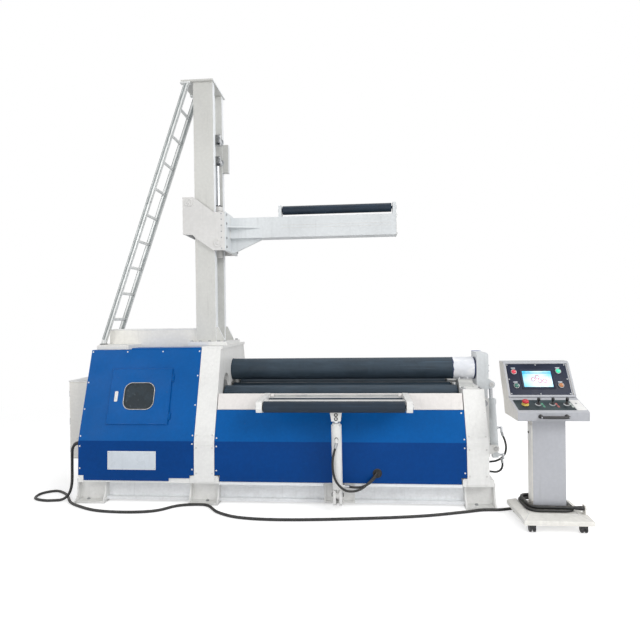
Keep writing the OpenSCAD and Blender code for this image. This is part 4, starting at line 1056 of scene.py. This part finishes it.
for name, (colour, x) in tags.items():
    piece(name, on(DESK, tag, (x, 112, 0), (x + 2, 74, 0)), moulded(name, colour, 0.4, 400, 0.1))

HANDLE_Z = 850
rose = lathe([(17, 0), (17, 4), (14, 9), (10, 12), (8.4, 22), (8.4, 26), (0, 26)], 28)
piece("handle_roses", on(FRONT, rose, *[(CONSOLE_X + x, HANDLE_Z, 1008) for x in (-95, 95)]), PLASTIC)
# The grip's path as (x, step back), bent back at its ends
bent = [(-102, 10), (-100, 4), (-91, 1.5), (-56, 0.5), (0, 0), (56, 0.5), (91, 1.5), (100, 4), (102, 10)]
grip_path = curve([(CONSOLE_X + x, -1046 + back, HANDLE_Z) for x, back in bent], 4)
count = len(grip_path)
grip_radius = 11.5 - 1.6 * np.linspace(-1, 1, count) ** 2 + 0.35 * np.cos(np.arange(count) * np.pi)
piece("handle_grip", tube(grip_path, grip_radius, 20), PLASTIC, sharp=50)

side_cover = ((1522, -839, 0), -Y, Z, -X)
piece("post_cover", on(side_cover, plate(88, 590, 5, 4, 5, 1.5), (0, 462, 0)), CREAM)
lock = lathe([(9, 0), (9, 4), (7, 6), (3.6, 6), (3, 3), (0, 3)], 28)
piece("post_lock", on(side_cover, lock, (-20, 690, 5)), PLASTIC)
rear_cover = ((1646, -786, 450), -X, Z, Y)
piece("post_door", on(rear_cover, plate(216, 640, 5, 4, 5, 1.5), ORIGIN), SHADED)
BASE_TOP = 105


def round_three_sides(left, right, front, back, inset=0):
    """Lines at BASE_TOP along a front edge, moved out and shortened by inset, and back along both its ends."""
    edge = ((left + inset, front - inset, BASE_TOP), (right - inset, front - inset, BASE_TOP))
    return [edge] + [((x, front, BASE_TOP), (x, back, BASE_TOP)) for x in (left, right)]


piece("post_welds", beads(round_three_sides(1521, 1771, -892, -786, 1), 3), CREAM, sharp=60)
base_corners = [((1392, -1088, 94), (1456, -980, BASE_TOP)), ((1888, -1088, 94), (1824, -980, BASE_TOP))]
base_seams = join(beads(round_three_sides(1458, 1822, -978, -692), 3), beads(base_corners, 2.5))
piece("base_seams", base_seams, GREY, sharp=60)

# Twin-wheel casters stand for the plain ones
wheel = hoop([(6, -8), (20, -8.5), (25, -7.5), (27, -4.5), (27, 4.5), (25, 7.5), (20, 8.5), (6, 8)], 40)
hub = lathe([(0, -24), (8, -24), (9, -23), (9, 23), (8, 24), (0, 24)], 24)
bracket, leg = bar((-23, -17, 57), (23, 17, 62), 1.5), bar((-6, -14, 24), (6, 14, 58), 2)
hood = bar((-24.5, -24, 30), (24.5, 2, 57.5), 6)
wheels = join(copies(wheel, [(0, 0, -15), (0, 0, 15)]), hub)
caster = join(placed(wheels, (0, 0, 27), Y, Z, X), bracket, leg, hood)
spots = [(x, y, 0) for x in (1455, 1826) for y in (-1050, -690)]
casters = piece("casters", copies(caster, spots), PLASTIC)
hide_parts("console_casters")

# ---- floor and light ----
floor = bpy.data.objects.new("floor", bpy.data.meshes.new("floor"))
floor.data.from_pydata((rectangle(60, 60) @ np.eye(2, 3)).tolist(), [], [(0, 1, 2, 3)])
scene.collection.objects.link(floor)

# Matt and lit by the lamps, with a glow where it is seen that grows to plain white over FADE metres away
FLOOR_GREY, GLOW, FADE = 0.78, 0.55, (3.2, 7.5)
ground = bpy.data.materials.new("floor")
floor_paint = Nodes(ground)
floor_paint.tree.nodes.remove(floor_paint.tree.nodes["Principled BSDF"])
seen = floor_paint.seen()
away = floor_paint.node("VectorMath", floor_paint.node("NewGeometry"), operation="LENGTH", out=1)
matt = floor_paint.node("BsdfDiffuse", (FLOOR_GREY, FLOOR_GREY, FLOOR_GREY, 1))
glow = floor_paint.node("Emission", inputs={"Strength": seen * GLOW})
lit = floor_paint.node("AddShader", matt, glow)
white = floor_paint.node("Emission", inputs={"Strength": 1.0})
blend = floor_paint.node("MixShader", seen * away.step(*FADE), lit, white)
floor_paint.feed(floor_paint.tree.nodes["Material Output"].inputs["Surface"], blend)
floor.data.materials.append(ground)

# The studio is white where it is seen and lights the machine at WORLD_LEVEL
WORLD_LEVEL = 0.41
scene.world = bpy.data.worlds.new("studio")
studio = Nodes(scene.world)
sky = studio.tree.nodes["Background"].inputs
studio.feed(sky["Color"], (1, 1, 1, 1))
studio.feed(sky["Strength"], studio.seen() * (1 - WORLD_LEVEL) + WORLD_LEVEL)


def lamp(name, at, towards, size, watts):
    """A rectangular area lamp that faces a point."""
    data = bpy.data.lights.new(name, "AREA")
    data.shape, data.size, data.size_y, data.energy = "RECTANGLE", *size, watts
    thing = bpy.data.objects.new(name, data)
    back = unit(vec(*at) - vec(*towards))
    side = unit(np.cross(Z, back))
    stand(thing, side, np.cross(back, side), back, at)


lamp("key", (5.4, -6.2, 5.6), (0.0, 0, 1.4), (4.5, 3.5), 266)
lamp("side", (7.5, -1.5, 4.0), (0.0, 0, 1.6), (3.5, 3.5), 111)
lamp("fill", (-5.5, -6.0, 4.0), (-0.3, 0, 1.2), (4, 3), 121)
lamp("front", (0.5, -8.0, 1.4), (0.2, 0, 0.6), (6, 2), 96)
lamp("overhead", (0.5, 0.5, 7.5), (0, 0, 1.0), (6, 4), 116)

bpy.context.view_layer.update()
